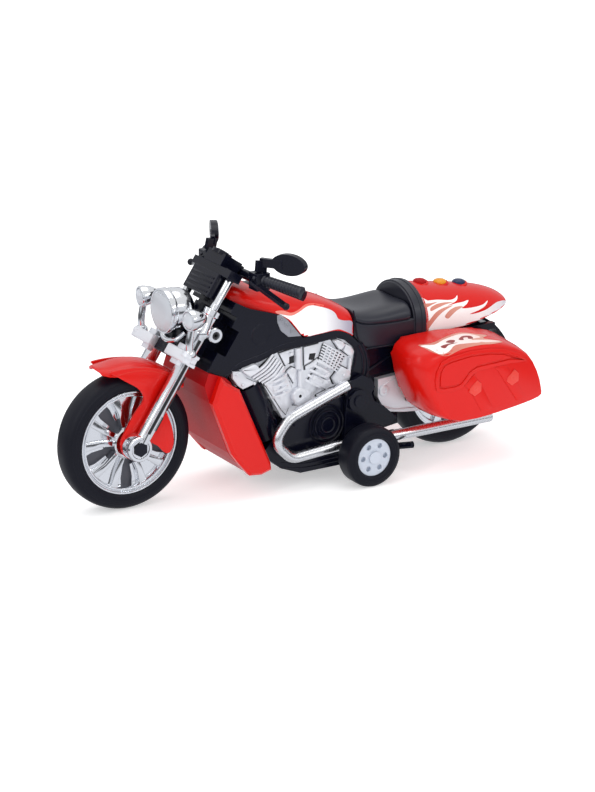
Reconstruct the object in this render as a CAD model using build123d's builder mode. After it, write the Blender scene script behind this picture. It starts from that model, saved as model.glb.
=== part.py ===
"""Push-along toy cruiser motorcycle with stabiliser wheels, sound buttons and saddlebags.

Millimetres. +X points forward, +Y to the rider's left and +Z up. The origin is on the ground,
in the middle between the two wheels.
"""
import os
from math import cos, pi, radians, sin

from build123d import *

# ---- driving dimensions -------------------------------------------------------------------
WHEEL_R = 37.0            # outer radius of both road wheels
TYRE_HALF = 8.0           # half the tyre's width
AXLE_X = 102.2            # each axle stands this far from the origin
RIM_R = 28.1              # outer radius of the rim, inner radius of the tyre
AXLE_R = 1.5              # steel axles of the road wheels
RUN = 0.05                # radial running clearance of a wheel or gear on its pin
RAKE = 33.8               # the fork leans back this far from upright, in degrees
LEG_Y = 15.5              # each fork leg's distance from the middle plane
LEG_R = 4.0
TUBE_R = 2.4
PIVOT_BACK = 3.0          # the steering pin lies this far behind the line of the legs
PIN_R = 2.5               # steering pin
CORE_Y = 15.0             # half width of the frame behind the engine relief
SKIN_Y = 20.0             # half width of the frame over its raised relief
STAB_X, STAB_Z = -26.7, 16.75      # stabiliser axle
STAB_R = 16.75            # stabiliser wheel
STAB_IN, STAB_OUT = 31.3, 44.7     # inner and outer face of a stabiliser wheel
STAB_PIN_R = 1.2
GEAR_MODULE = 1.0
WHEEL_TEETH, IDLER_TEETH, PINION_TEETH = 36, 24, 10
GEAR_Y = -9.5             # inner face of the gear train, on the right of the rear wheel
GEAR_T = 2.6

S, C = sin(radians(RAKE)), cos(radians(RAKE))
REAR_X = -AXLE_X
AXLE_Z = WHEEL_R

os.makedirs("parts", exist_ok=True)
pieces = {}


# ---- shared geometry ----------------------------------------------------------------------
def side(y):
    """Plane parallel to the side view at height y; its sketch reads (x, z) and extrudes to -y."""
    return Plane.XZ.offset(-y)


def cross(x):
    """Plane across the machine at x; its sketch reads (y, z) and extrudes forward."""
    return Plane.YZ.offset(x)


def fork_plane(along, ahead=0.0):
    """Plane square to the fork, so far up from the front axle; its sketch reads (ahead, y)."""
    origin = (AXLE_X - along * S + ahead * C, 0, AXLE_Z + along * C + ahead * S)
    return Plane(origin=origin, x_dir=(C, 0, S), z_dir=(-S, 0, C))


def slab(outline, y0, y1):
    """Flat plate with a side-view outline, from y0 to y1."""
    with BuildPart(mode=Mode.PRIVATE) as plate:
        with BuildSketch(side(y0)):
            with BuildLine():
                Polyline(*outline, close=True)
            make_face()
        extrude(amount=-(y1 - y0))
    return plate.part


def rod(x, z, radius, y0, y1):
    """Round bar across the machine, from y0 to y1."""
    with BuildPart(mode=Mode.PRIVATE) as bar:
        with BuildSketch(side(y0)):
            with Locations((x, z)):
                Circle(radius)
        extrude(amount=-(y1 - y0))
    return bar.part


def hoop(half, bottom, shoulder, top):
    """Closed outline of a section across the machine: flat bottom, straight sides, arched top."""
    with BuildLine() as outline:
        Polyline((-half, shoulder), (-half, bottom), (half, bottom), (half, shoulder))
        ThreePointArc((half, shoulder), (0, top), (-half, shoulder))
    make_face(outline.edges())


def hoop_loft(stations):
    """Loft through (x, half width, bottom, shoulder, top) stations."""
    with BuildPart(mode=Mode.PRIVATE) as body:
        for x, half, bottom, shoulder, top in stations:
            with BuildSketch(cross(x)):
                hoop(half, bottom, shoulder, top)
        loft()
    return body.part


def gear_outline(teeth, angle=0.0):
    """Trapezoid-tooth outline of a moulded gear, with backlash, about the sketch's origin."""
    pitch_r = teeth * GEAR_MODULE / 2
    points = []
    for i in range(teeth):
        middle = radians(angle) + 2 * pi * i / teeth
        half = pi / teeth
        for share, radius in ((-0.66, pitch_r - 1.15), (-0.20, pitch_r + 0.75),
                              (0.20, pitch_r + 0.75), (0.66, pitch_r - 1.15)):
            points.append((radius * cos(middle + share * half), radius * sin(middle + share * half)))
    with BuildLine() as outline:
        Polyline(*points, close=True)
    make_face(outline.edges())


def mirrored(name):
    """Add the right-hand twin of a left-hand piece."""
    with BuildPart() as twin:
        mirror(pieces[name + "_left"].part, about=Plane.XZ)
    pieces[name + "_right"] = twin


# ---- frame: two half shells, black ABS ------------------------------------------------------
# The upper edge carries the tank and the seat; the arch below it borders the engine.
DECK = [(46, 108), (37.5, 103.4), (25, 99.4), (19, 97.4), (13, 93.2), (4.7, 82.5), (-6, 83.1),
        (-16.7, 83.6), (-25, 80), (-30, 75), (-36, 70)]
ARCH = [(43.4, 71.6), (31.2, 74), (18.9, 77.6), (6.5, 77.8), (-6, 78.6), (-16.8, 79.1),
        (-21.9, 77.2), (-27.1, 72.5), (-28.5, 69.4), (-27.3, 62.3), (-25.5, 56.9), (-27, 49)]
CORE = DECK + [(-62, 70), (-60.5, 56), (-60.5, 22), (-45, 20), (-30, 7), (6, 7), (18.4, 11.8),
               (26, 17.7), (31, 22.5), (50.5, 66), (53.5, 68.8), (63.5, 73), (65.2, 76.8)]
PANEL = DECK + [(-38.3, 62.2), (-37, 52), (-30, 47)] + ARCH[::-1] + [(53.5, 68.8), (63.5, 73),
                                                                    (65.2, 76.8)]
CASE = [(28, 24), (15, 38), (-2.7, 43.3), (-20, 46), (-30, 46.5), (-38, 46), (-42, 38), (-44, 22),
        (-30, 7), (6, 7), (18.4, 11.8), (25, 17)]
CAN_TOP, CAN_LOW, CAN_R, CAN_Y = (36.3, 60.7), (23.2, 30.2), 8.2, 13.0   # black side canister
FLY_X = REAR_X + GEAR_MODULE * (WHEEL_TEETH + IDLER_TEETH) / 2 + GEAR_MODULE * (
    IDLER_TEETH + PINION_TEETH) / 2
IDLER_X = REAR_X + GEAR_MODULE * (WHEEL_TEETH + IDLER_TEETH) / 2
SCREWS = [(-50, 62), (-22, 60), (20, 52), (40, 86), (-18, 26)]   # frame screws, side view
DOOR = (-18.0, 10.0)      # battery door, from x to x
DOOR_HALF = 8.5
DOOR_SCREW_X = 8.0
STAND_X, STAND_Z = -38.0, 12.6     # side stand pivot

can_dir = Vector(CAN_TOP[0] - CAN_LOW[0], 0, CAN_TOP[1] - CAN_LOW[1]).normalized()
with BuildPart() as canister:
    with BuildSketch(Plane(origin=(CAN_LOW[0], CAN_Y, CAN_LOW[1]), x_dir=(0, 1, 0), z_dir=can_dir)):
        Circle(CAN_R)
    extrude(amount=(Vector(*CAN_TOP) - Vector(*CAN_LOW)).length)

with BuildPart() as steering_room:            # swept by the fork's back over its range
    with BuildSketch(fork_plane(48.8, 0)):
        with Locations((20 - 12.4, 0)):
            Rectangle(40, 60)
    extrude(amount=35.4)
    with BuildSketch(fork_plane(63, 0)):
        with Locations((20 - 17.8, 0)):
            Rectangle(40, 60)
    extrude(amount=15)
    with BuildSketch(fork_plane(84, 0)):
        with Locations((20 - 7.15, 0)):
            Rectangle(40, 60)
    extrude(amount=30)

with BuildPart() as head_tube:                # carries the steering pin, half in each shell
    with BuildSketch(fork_plane(57.5, -PIVOT_BACK)):
        with Locations((-8, 0)):
            Rectangle(16, 15)
        Circle(4.5)
    extrude(amount=25)

with BuildPart() as pin_bore:
    with BuildSketch(fork_plane(40, -PIVOT_BACK)):
        Circle(PIN_R + RUN)
    extrude(amount=70)

with BuildPart() as frame_left:
    add(slab(CORE, 0, CORE_Y))
    add(slab(PANEL, CORE_Y, SKIN_Y))
    add(slab(CASE, CORE_Y, SKIN_Y + 1))
    add(canister.part)
    for radius, out in ((9.0, 2.2), (5.5, 3.0)):
        add(rod(-10, 32, radius, SKIN_Y, SKIN_Y + out))
    add(slab([(-36, 70), (-125, 70), (-125, 66.5), (-60, 64), (-36, 64)], 11.2, CORE_Y))
    add(steering_room.part, mode=Mode.SUBTRACT)
    add(head_tube.part)
    split(bisect_by=Plane.XZ, keep=Keep.BOTTOM)
    add(pin_bore.part, mode=Mode.SUBTRACT)
    add(rod(REAR_X, AXLE_Z, 41.0, -1, 11.2), mode=Mode.SUBTRACT)
    add(slab([(-14, 48), (14, 48), (14, 64), (-14, 64)], -1, 12), mode=Mode.SUBTRACT)
    add(slab([(-12.5, 0), (6.5, 0), (6.5, 21), (-12.5, 21)], -1, 6.6), mode=Mode.SUBTRACT)
    add(slab([(DOOR[0], 0), (DOOR[1], 0), (DOOR[1], 8.6), (DOOR[0], 8.6)], -1, DOOR_HALF),
        mode=Mode.SUBTRACT)
    add(rod(FLY_X, AXLE_Z, 10.5, -1, 1.5), mode=Mode.SUBTRACT)
    add(rod(FLY_X, AXLE_Z, 1.0 + RUN, -1, 3.5), mode=Mode.SUBTRACT)
    add(rod(STAB_X, STAB_Z, STAB_PIN_R + 0.02, -1, 30), mode=Mode.SUBTRACT)
    for x, z in SCREWS:
        add(rod(x, z, 1.25, -1, 10), mode=Mode.SUBTRACT)
    with BuildSketch(Plane.XY):
        with Locations((DOOR_SCREW_X, 0)):
            Circle(1.0)
    extrude(amount=14.5, mode=Mode.SUBTRACT)
pieces["frame_left"] = frame_left

with BuildPart() as frame_right:
    mirror(frame_left.part, about=Plane.XZ)
    add(rod(FLY_X, AXLE_Z, 10.5, -9.2, 1), mode=Mode.SUBTRACT)
    add(rod(FLY_X, AXLE_Z, 6.6, -13.1, -9), mode=Mode.SUBTRACT)
    add(slab([(-61, 30), (-57, 30), (-57, 44), (-61, 44)], -13.1, -9), mode=Mode.SUBTRACT)
    add(rod(FLY_X, AXLE_Z, 1.0 + RUN, -15.5, -13), mode=Mode.SUBTRACT)
    for x, z in SCREWS:
        add(rod(x, z, 1.25, -SKIN_Y - 1, 0), mode=Mode.SUBTRACT)
        add(rod(x, z, 2.3, -SKIN_Y - 1, -12.0), mode=Mode.SUBTRACT)
pieces["frame_right"] = frame_right

with BuildPart() as body_screws:              # pan heads sunk in the right shell, and the door's
    for x, z in SCREWS:
        add(rod(x, z, 1.25, -12.0, 9.5))
        add(rod(x, z, 2.2, -13.5, -12.0))
    with BuildSketch(Plane.XY.offset(7.0)):
        with Locations((DOOR_SCREW_X, 0)):
            Circle(1.7)
    extrude(amount=1.0)
    with BuildSketch(Plane.XY.offset(8.0)):
        with Locations((DOOR_SCREW_X, 0)):
            Circle(1.0)
    extrude(amount=6.0)
pieces["body_screws"] = body_screws

with BuildPart() as battery_door:
    with BuildSketch(Plane.XY.offset(7.0)):
        with Locations(((DOOR[0] + DOOR[1]) / 2, 0)):
            Rectangle(DOOR[1] - DOOR[0] - 0.3, 2 * DOOR_HALF - 0.3)
    extrude(amount=1.5)
    with BuildSketch(Plane.XY.offset(7.0)):
        with Locations((DOOR_SCREW_X, 0)):
            Circle(1.75)
    extrude(amount=1.0, mode=Mode.SUBTRACT)
    with BuildSketch(Plane.XY.offset(7.0)):
        with Locations((DOOR_SCREW_X, 0)):
            Circle(1.05)
    extrude(amount=2.0, mode=Mode.SUBTRACT)
pieces["battery_door"] = battery_door

with BuildPart() as battery_cells:            # three button cells, face to face
    for i in range(3):
        with BuildSketch(cross(-11.6 + i * 5.6)):
            with Locations((0, 14.6)):
                Circle(5.8)
        extrude(amount=5.4)
pieces["battery_cells"] = battery_cells

with BuildPart() as speaker:                  # cone speaker behind the engine, facing down
    with BuildSketch(Plane.XY.offset(54)):
        Circle(10)
    extrude(amount=2.0)
    with BuildSketch(Plane.XY.offset(56)):
        Circle(6)
    extrude(amount=3.0)
pieces["speaker"] = speaker

# ---- engine: silver relief mouldings in the arch ----------------------------------------------
ENGINE = [(48.5, 69.4)] + ARCH[:-1] + [(-26.6, 50.5), (-20, 46.2), (-2.7, 43.5), (15, 38.2),
                                       (16.5, 39.5), (29.5, 62), (45.5, 62)]
CYLINDERS = [((14, 45), (24, 75)), ((2, 47), (-16, 77))]     # V-twin barrels, base and head
with BuildPart() as engine_left:
    add(slab(ENGINE, CORE_Y, 19.0))
    for base, head in CYLINDERS:
        axis = Vector(head[0] - base[0], 0, head[1] - base[1])
        with BuildSketch(Plane(origin=(base[0], 14.5, base[1]), x_dir=(0, 1, 0), z_dir=axis)):
            Circle(6.0)
        extrude(amount=axis.length - 4)
    add(rod(6, 50, 5.0, CORE_Y, 22.0))
    split(bisect_by=side(CORE_Y), keep=Keep.BOTTOM)
    for base, head in CYLINDERS:
        axis = Vector(head[0] - base[0], 0, head[1] - base[1])
        for i in range(5):
            fin = Plane(origin=(base[0], 14.5, base[1]), x_dir=(0, 1, 0), z_dir=axis).offset(9 + 3 * i)
            with BuildSketch(fin):
                Circle(8.0)
                Circle(5.4, mode=Mode.SUBTRACT)
            extrude(amount=1.4)
    split(bisect_by=side(CORE_Y), keep=Keep.BOTTOM)
    add(canister.part, mode=Mode.SUBTRACT)
pieces["engine_left"] = engine_left
mirrored("engine")

# ---- exhaust: chromed pipe that loops forward and runs back to the muffler ---------------------
PIPE_Y, PIPE_R, MUFFLER_R = 27.0, 2.6, 3.1
with BuildPart() as exhaust_left:
    with BuildLine(Plane.XZ.offset(-PIPE_Y)) as route:
        FilletPolyline((-19.5, 54.2), (17.5, 41.5), (26.8, 30.0), (15.5, 18.7), (-12, 20.7),
                       (-50, 20.9), radius=(5, 6, 8, 40))
    with BuildSketch(Plane(origin=route.line @ 0, z_dir=route.line % 0)):
        Circle(PIPE_R)
    sweep()
    with BuildSketch(Plane(origin=(-46, PIPE_Y + 1.2, 20.7), x_dir=(0, 1, 0), z_dir=(-1, 0, 0))):
        Circle(MUFFLER_R)
    extrude(amount=68)
    with BuildSketch(Plane(origin=(-114, PIPE_Y + 1.2, 20.7), x_dir=(0, 1, 0), z_dir=(1, 0, 0))):
        Circle(MUFFLER_R - 0.8)
    extrude(amount=12, mode=Mode.SUBTRACT)
    add(rod(-17.5, 53.5, 2.0, 19.0, PIPE_Y))          # pegs into the engine and the crankcase
    add(rod(0, 18.9, 1.6, SKIN_Y + 1, PIPE_Y))
pieces["exhaust_left"] = exhaust_left
mirrored("exhaust")

# ---- red front cowl: chin between the side panels ---------------------------------------------
CHIN = [(63.5, 73), (53.5, 68.8), (50.5, 66), (31, 22.5), (30.2, 14), (40, 13.5), (47, 20.7),
        (52, 27.2), (63.3, 56.9), (66, 66)]
SIDE_PANEL = [(54.9, 67.5), (57.9, 70.7), (63.3, 56.9), (51.8, 27.2), (46.9, 20.7), (40.7, 13.3),
              (33.3, 12.5), (27.1, 14.2), (27.7, 18.3), (47, 62.3)]
with BuildPart() as chin_fairing:
    add(slab(CHIN, -22.2, 22.2))
    add(rod(AXLE_X, AXLE_Z, 39.6, -16.5, 16.5), mode=Mode.SUBTRACT)
    add(steering_room.part, mode=Mode.SUBTRACT)
    add(slab([(56, 64), (52.5, 66), (34, 24), (37, 18), (43, 22), (47, 28)], -20, 20),
        mode=Mode.SUBTRACT)
    for y in (-CAN_Y, CAN_Y):
        with BuildSketch(Plane(origin=(CAN_LOW[0], y, CAN_LOW[1]), x_dir=(0, 1, 0), z_dir=can_dir)):
            Circle(CAN_R + 0.05)
        extrude(amount=50, both=True, mode=Mode.SUBTRACT)
pieces["chin_fairing"] = chin_fairing

with BuildPart() as side_panel_left:
    add(slab(SIDE_PANEL, 22.2, 27.0))
    chamfer(side_panel_left.faces().sort_by(Axis.Y)[-1].edges(), length=1.6)
pieces["side_panel_left"] = side_panel_left
mirrored("side_panel")

# ---- fuel tank: red shell that sits on the frame's deck ---------------------------------------
TANK = [(46, 11.5, 76, 106, 112.6), (40, 15, 76, 106.5, 112.8), (25, 19, 76, 103, 110.3),
        (5, 20.5, 76, 96.5, 104.8), (-15, 20.2, 76, 90.5, 99), (-28.5, 19, 76, 86, 92.2)]
below_deck = slab(DECK + [(-36, 60), (70, 60), (70, 108)], -30, 30)
with BuildPart() as fuel_tank:
    add(hoop_loft(TANK))
    add(hoop_loft([(x, half - 1.8, 70, shoulder - 1.6, top - 1.8)
                   for x, half, _, shoulder, top in [(44, 11.5, 0, 106, 112.6)] + TANK[1:5]
                   + [(-26.7, 19, 0, 86.6, 92.9)]]), mode=Mode.SUBTRACT)
    add(below_deck, mode=Mode.SUBTRACT)
    add(steering_room.part, mode=Mode.SUBTRACT)
pieces["fuel_tank"] = fuel_tank

# ---- seat, backrest and tail -------------------------------------------------------------------
with BuildPart() as seat:
    add(hoop_loft([(-28.6, 19, 70, 85.5, 91.6), (-38, 19.5, 70, 84, 89.2), (-50, 20, 70, 81.5, 90),
                   (-67, 20.5, 70, 81, 90)]))
    add(below_deck, mode=Mode.SUBTRACT)
pieces["seat"] = seat

with BuildPart() as backrest:
    with BuildSketch(cross(-73.8)):
        hoop(21.5, 70, 80, 99)
    extrude(amount=6.8)
pieces["backrest"] = backrest

TAIL = [(-73.8, 20.5, 70, 80, 97), (-98, 19.3, 71.8, 79.5, 93), (-120, 16.2, 74.4, 79.5, 89.3),
        (-133, 11, 76.3, 78.8, 84.6), (-139.2, 5.6, 77.2, 78, 79.4)]
BUTTONS = {"button_red": -83.4, "button_yellow": -97.0, "button_blue": -109.8}
BUTTON_R = 3.8
BUTTON_TRAVEL = 1.5
SWITCH_TOP = 81.6         # top of the board's dome switches
SKIN_TOP = {"button_red": 95.3, "button_yellow": 93.2, "button_blue": 91.2}
with BuildPart() as tail_shell:
    add(hoop_loft(TAIL))
    add(hoop_loft([(x, half - 2, 60, shoulder - 2, top - 2.2) for x, half, _, shoulder, top in
                   TAIL[:4]]), mode=Mode.SUBTRACT)
    add(rod(REAR_X, AXLE_Z, 40.2, -16, 16), mode=Mode.SUBTRACT)
    for name, x in BUTTONS.items():
        with BuildSketch(Plane.XY.offset(84)):
            with Locations((x, 0)):
                Circle(BUTTON_R + 0.25)
        extrude(amount=20, mode=Mode.SUBTRACT)
pieces["tail_shell"] = tail_shell

for name, x in BUTTONS.items():               # dome, flange under the skin and plunger
    skin = SKIN_TOP[name]
    with BuildPart() as button:
        with BuildSketch(Plane.XY.offset(skin - 6.6)):
            with Locations((x, 0)):
                Circle(BUTTON_R + 1.0)
        extrude(amount=1.0)
        with BuildSketch(Plane.XY.offset(skin - 5.6)):
            with Locations((x, 0)):
                Circle(BUTTON_R)
        extrude(amount=8.2)
        fillet(button.edges().filter_by(GeomType.CIRCLE).sort_by(Axis.Z)[-1], radius=2.6)
        with BuildSketch(Plane.XY.offset(SWITCH_TOP + BUTTON_TRAVEL + 0.1)):
            with Locations((x, 0)):
                Circle(1.2)
        extrude(amount=skin - 6.6 - SWITCH_TOP - BUTTON_TRAVEL - 0.1)
    pieces[name] = button

with BuildPart() as circuit_board:            # in the tail, with a dome switch under each button
    with BuildSketch(Plane.XY.offset(SWITCH_TOP - 2.6)):
        with Locations((-97, 0)):
            Rectangle(38, 17)
    extrude(amount=1.2)
    for x in BUTTONS.values():
        with BuildSketch(Plane.XY.offset(SWITCH_TOP - 1.4)):
            with Locations((x, 0)):
                Rectangle(6, 6)
        extrude(amount=1.4)
    with BuildSketch(Plane.XY.offset(SWITCH_TOP - 3.6)):
        with Locations((-84, 0)):
            Rectangle(8, 5)
    extrude(amount=1.0)
pieces["circuit_board"] = circuit_board

with BuildPart() as rear_fender:              # black guard that follows the rear wheel
    with BuildSketch(Plane.XZ):
        with BuildLine():
            a0, a1 = 40.0, 152.0
            points = [(REAR_X + r * cos(radians(a)), AXLE_Z + r * sin(radians(a)))
                      for r, a in ((38.4, a0), (38.4, (a0 + a1) / 2), (38.4, a1),
                                   (39.9, a1), (39.9, (a0 + a1) / 2), (39.9, a0))]
            ThreePointArc(*points[:3])
            Line(points[2], points[3])
            ThreePointArc(*points[3:])
            Line(points[5], points[0])
        make_face()
    extrude(amount=9.8, both=True)
pieces["rear_fender"] = rear_fender

# ---- saddlebags: hollow red shells on flat backs ------------------------------------------------
BAG_IN = [(-50.5, 66), (-57, 74), (-80, 74.5), (-104, 72), (-122, 64.5), (-134, 43), (-128, 34),
          (-72, 31.5), (-56, 46)]
BAG_MID = [(-49.5, 64), (-56, 73), (-80, 74), (-104, 71.5), (-123, 62.5), (-134, 42), (-128, 33.5),
           (-72, 31), (-55.5, 46)]
BAG_OUT = [(-61, 58), (-67, 68), (-83, 70), (-103, 68.5), (-122.5, 59.5), (-131.5, 41),
           (-125, 34.5), (-79, 30.5), (-65, 42)]


def bag_loft(stations):
    """Loft through (y, outline) stations of a bag."""
    with BuildPart(mode=Mode.PRIVATE) as bag:
        for y, outline in stations:
            with BuildSketch(side(y)):
                with BuildLine():
                    Polyline(*outline, close=True)
                make_face()
        loft(ruled=True)
    return bag.part


def shrunk(outline, margin):
    """Outline drawn in towards its middle by about the margin."""
    mid_x = sum(x for x, _ in outline) / len(outline)
    mid_z = sum(z for _, z in outline) / len(outline)
    far_x = max(abs(x - mid_x) for x, _ in outline)
    far_z = max(abs(z - mid_z) for _, z in outline)
    return [(mid_x + (x - mid_x) * (1 - margin / far_x), mid_z + (z - mid_z) * (1 - margin / far_z))
            for x, z in outline]


with BuildPart() as saddlebag_left:
    add(bag_loft([(23.2, BAG_IN), (38, BAG_MID), (50, BAG_OUT)]))
    add(bag_loft([(22, shrunk(BAG_IN, 2.4)), (38, shrunk(BAG_MID, 2.4)), (48, shrunk(BAG_OUT, 2.4))]),
        mode=Mode.SUBTRACT)
pieces["saddlebag_left"] = saddlebag_left
mirrored("saddlebag")

with BuildPart() as bag_backs:                # flat inner walls, each screwed to the tail rail
    add(slab(BAG_IN, 21.6, 23.2))
    add(slab([(-84, 66.6), (-100, 66.8), (-100, 69.8), (-84, 69.8)], CORE_Y, 21.6))
    mirror(about=Plane.XZ)
pieces["bag_backs"] = bag_backs

# ---- swing arms and rear axle --------------------------------------------------------------------
SWING = [(-44.5, 51), (-62, 52), (-70, 44), (-95, 41.5), (-102.2, 43.5), (-107.5, 40),
         (-107.5, 34), (-102.2, 30.5), (-86, 27), (-62, 29.4), (-52, 31.3), (-46.7, 36.8),
         (-44.5, 41)]
WINDOW = [(-62, 41.2), (-72, 38.9), (-72, 33.7), (-62.5, 35.8)]
with BuildPart() as swing_arm_left:
    add(slab(SWING, CORE_Y + 0.1, 19.0))
    add(slab(WINDOW, 14, 20), mode=Mode.SUBTRACT)
    add(rod(REAR_X, AXLE_Z, 6.0, 9.2, CORE_Y + 0.1))
    add(rod(REAR_X, AXLE_Z, AXLE_R + 0.01, 5, 18.5), mode=Mode.SUBTRACT)
    split(bisect_by=side(9.2), keep=Keep.BOTTOM)
pieces["swing_arm_left"] = swing_arm_left

with BuildPart() as swing_arm_right:          # its inner boss is short, to clear the wheel's gear
    add(mirror(slab(SWING, CORE_Y + 0.1, 19.0), about=Plane.XZ))
    add(mirror(slab(WINDOW, 14, 20), about=Plane.XZ), mode=Mode.SUBTRACT)
    add(rod(REAR_X, AXLE_Z, 6.0, -CORE_Y - 0.1, GEAR_Y - GEAR_T - 0.4))
    add(rod(IDLER_X, AXLE_Z, 3.0, -CORE_Y - 0.1, GEAR_Y - GEAR_T - 0.3))
    add(rod(IDLER_X, AXLE_Z, 1.0, -CORE_Y, GEAR_Y + 0.4))
    add(rod(REAR_X, AXLE_Z, AXLE_R + 0.01, -18.5, -5), mode=Mode.SUBTRACT)
pieces["swing_arm_right"] = swing_arm_right

with BuildPart() as rear_axle:
    add(rod(REAR_X, AXLE_Z, AXLE_R, -18.5, 18.5))
pieces["rear_axle"] = rear_axle

# ---- wheels --------------------------------------------------------------------------------------
def tyre(x):
    """Hollow rubber tyre, round shoulders, pressed on the rim."""
    with BuildPart(mode=Mode.PRIVATE) as ring:
        with BuildSketch(Plane.XY):
            with BuildLine():
                Polyline((RIM_R, -6.8), (RIM_R + 3, -TYRE_HALF), (WHEEL_R - 4, -TYRE_HALF + 0.2))
                ThreePointArc((WHEEL_R - 4, -TYRE_HALF + 0.2), (WHEEL_R, 0),
                              (WHEEL_R - 4, TYRE_HALF - 0.2))
                Polyline((WHEEL_R - 4, TYRE_HALF - 0.2), (RIM_R + 3, TYRE_HALF), (RIM_R, 6.8),
                         (RIM_R, -6.8))
            make_face()
        revolve(axis=Axis.Y)
    return Pos(x, 0, AXLE_Z) * ring.part


def rim(x, spokes, web):
    """Cast-look rim: ring, hub and tapering twin spokes."""
    with BuildPart(mode=Mode.PRIVATE) as wheel:
        with BuildSketch(Plane.XZ):
            Circle(RIM_R)
            Circle(RIM_R - 2.4, mode=Mode.SUBTRACT)
        extrude(amount=6.6, both=True)
        with BuildSketch(Plane.XZ):
            Circle(8.5)
        extrude(amount=7.6, both=True)
        with BuildSketch(Plane.XZ):
            with PolarLocations(0, spokes, start_angle=18):
                with BuildLine():
                    Polyline((5, -2.6), (26.5, -6.2), (26.5, -2.4), (9.5, -0.8), (9.5, 0.8),
                             (26.5, 2.4), (26.5, 6.2), (5, 2.6), close=True)
                make_face()
        extrude(amount=web, both=True)
        with BuildSketch(Plane.XZ):
            Circle(AXLE_R + RUN)
        extrude(amount=20, both=True, mode=Mode.SUBTRACT)
    return Pos(x, 0, AXLE_Z) * wheel.part


with BuildPart() as front_tyre:
    add(tyre(AXLE_X))
pieces["front_tyre"] = front_tyre
with BuildPart() as rear_tyre:
    add(tyre(REAR_X))
pieces["rear_tyre"] = rear_tyre
with BuildPart() as front_rim:
    add(rim(AXLE_X, 5, 4.5))
pieces["front_rim"] = front_rim
with BuildPart() as rear_rim:                 # carries the drive gear on its right
    add(rim(REAR_X, 5, 4.5))
    with BuildSketch(Plane(origin=(REAR_X, GEAR_Y, AXLE_Z), x_dir=(1, 0, 0), z_dir=(0, -1, 0))):
        gear_outline(WHEEL_TEETH)
        Circle(AXLE_R + RUN, mode=Mode.SUBTRACT)
    extrude(amount=GEAR_T)
    with BuildSketch(Plane(origin=(REAR_X, -7.0, AXLE_Z), x_dir=(1, 0, 0), z_dir=(0, -1, 0))):
        Circle(7.0)
        Circle(AXLE_R + RUN, mode=Mode.SUBTRACT)
    extrude(amount=-GEAR_Y - 7.0)
pieces["rear_rim"] = rear_rim

# ---- inertia drive: wheel gear, idler and flywheel ----------------------------------------------
with BuildPart() as idler_gear:
    with BuildSketch(Plane(origin=(IDLER_X, GEAR_Y, AXLE_Z), x_dir=(1, 0, 0), z_dir=(0, -1, 0))):
        gear_outline(IDLER_TEETH, 180 / IDLER_TEETH)
        Circle(1.0 + RUN, mode=Mode.SUBTRACT)
    extrude(amount=GEAR_T)
pieces["idler_gear"] = idler_gear

with BuildPart() as flywheel:
    with BuildSketch(Plane(origin=(FLY_X, GEAR_Y, AXLE_Z), x_dir=(1, 0, 0), z_dir=(0, -1, 0))):
        gear_outline(PINION_TEETH)
    extrude(amount=GEAR_T)
    add(rod(FLY_X, AXLE_Z, 2.4, GEAR_Y, -8.0))
    add(rod(FLY_X, AXLE_Z, 9.0, -8.5, 0.5))
    add(rod(FLY_X, AXLE_Z, 1.0, -15.0, 3.0))
pieces["flywheel"] = flywheel

# ---- stabiliser wheels on their brackets and through axle ---------------------------------------
BRACKET = [(-22, 54), (-31, 57), (-37, 54), (-39.5, 49), (-37, 46), (-39, 41), (-45, 37.5),
           (-54, 29), (-50, 26.5), (-42, 26.0), (-42, 11), (-36, 8.6), (-24, 12), (-20, 20),
           (-21, 44)]
with BuildPart() as trainer_bracket_left:
    add(slab(BRACKET, 21.2, 23.9))
    add(rod(-27.6, 43.6, 6.2, 23.9, 26.5))
    add(rod(-27.6, 43.6, 3.2, 26.5, 27.4))
    add(rod(STAB_X, STAB_Z, 2.6, 23.9, STAB_IN - 0.3))
    add(rod(STAB_X, STAB_Z, STAB_PIN_R + 0.02, 15, STAB_OUT), mode=Mode.SUBTRACT)
    add(rod(STAND_X, STAND_Z, 1.3, 20, 30), mode=Mode.SUBTRACT)
    add(exhaust_left.part, mode=Mode.SUBTRACT)
pieces["trainer_bracket_left"] = trainer_bracket_left
with BuildPart() as trainer_bracket_right:
    mirror(trainer_bracket_left.part, about=Plane.XZ)
pieces["trainer_bracket_right"] = trainer_bracket_right

with BuildPart() as trainer_axle:
    add(rod(STAB_X, STAB_Z, STAB_PIN_R, -STAB_OUT + 1.0, STAB_OUT - 1.0))
pieces["trainer_axle"] = trainer_axle

HUB_R = 10.4
with BuildPart() as trainer_hub_left:
    add(rod(STAB_X, STAB_Z, HUB_R, STAB_IN + 0.6, STAB_OUT - 1.6))
    add(rod(STAB_X, STAB_Z, 3.4, STAB_OUT - 1.6, STAB_OUT - 0.4))
    with BuildSketch(side(STAB_OUT - 1.6)):
        with Locations((STAB_X, STAB_Z)):
            with PolarLocations(7.0, 6):
                Circle(1.5)
    extrude(amount=2.0, mode=Mode.SUBTRACT)
    add(rod(STAB_X, STAB_Z, STAB_PIN_R + RUN, 20, STAB_OUT - 0.8), mode=Mode.SUBTRACT)
pieces["trainer_hub_left"] = trainer_hub_left
mirrored("trainer_hub")
with BuildPart() as trainer_tyre_left:
    add(rod(STAB_X, STAB_Z, STAB_R, STAB_IN, STAB_OUT))
    fillet(trainer_tyre_left.edges().filter_by(GeomType.CIRCLE), radius=2.5)
    add(rod(STAB_X, STAB_Z, HUB_R, STAB_IN - 1, STAB_OUT + 1), mode=Mode.SUBTRACT)
pieces["trainer_tyre_left"] = trainer_tyre_left
mirrored("trainer_tyre")

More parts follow.
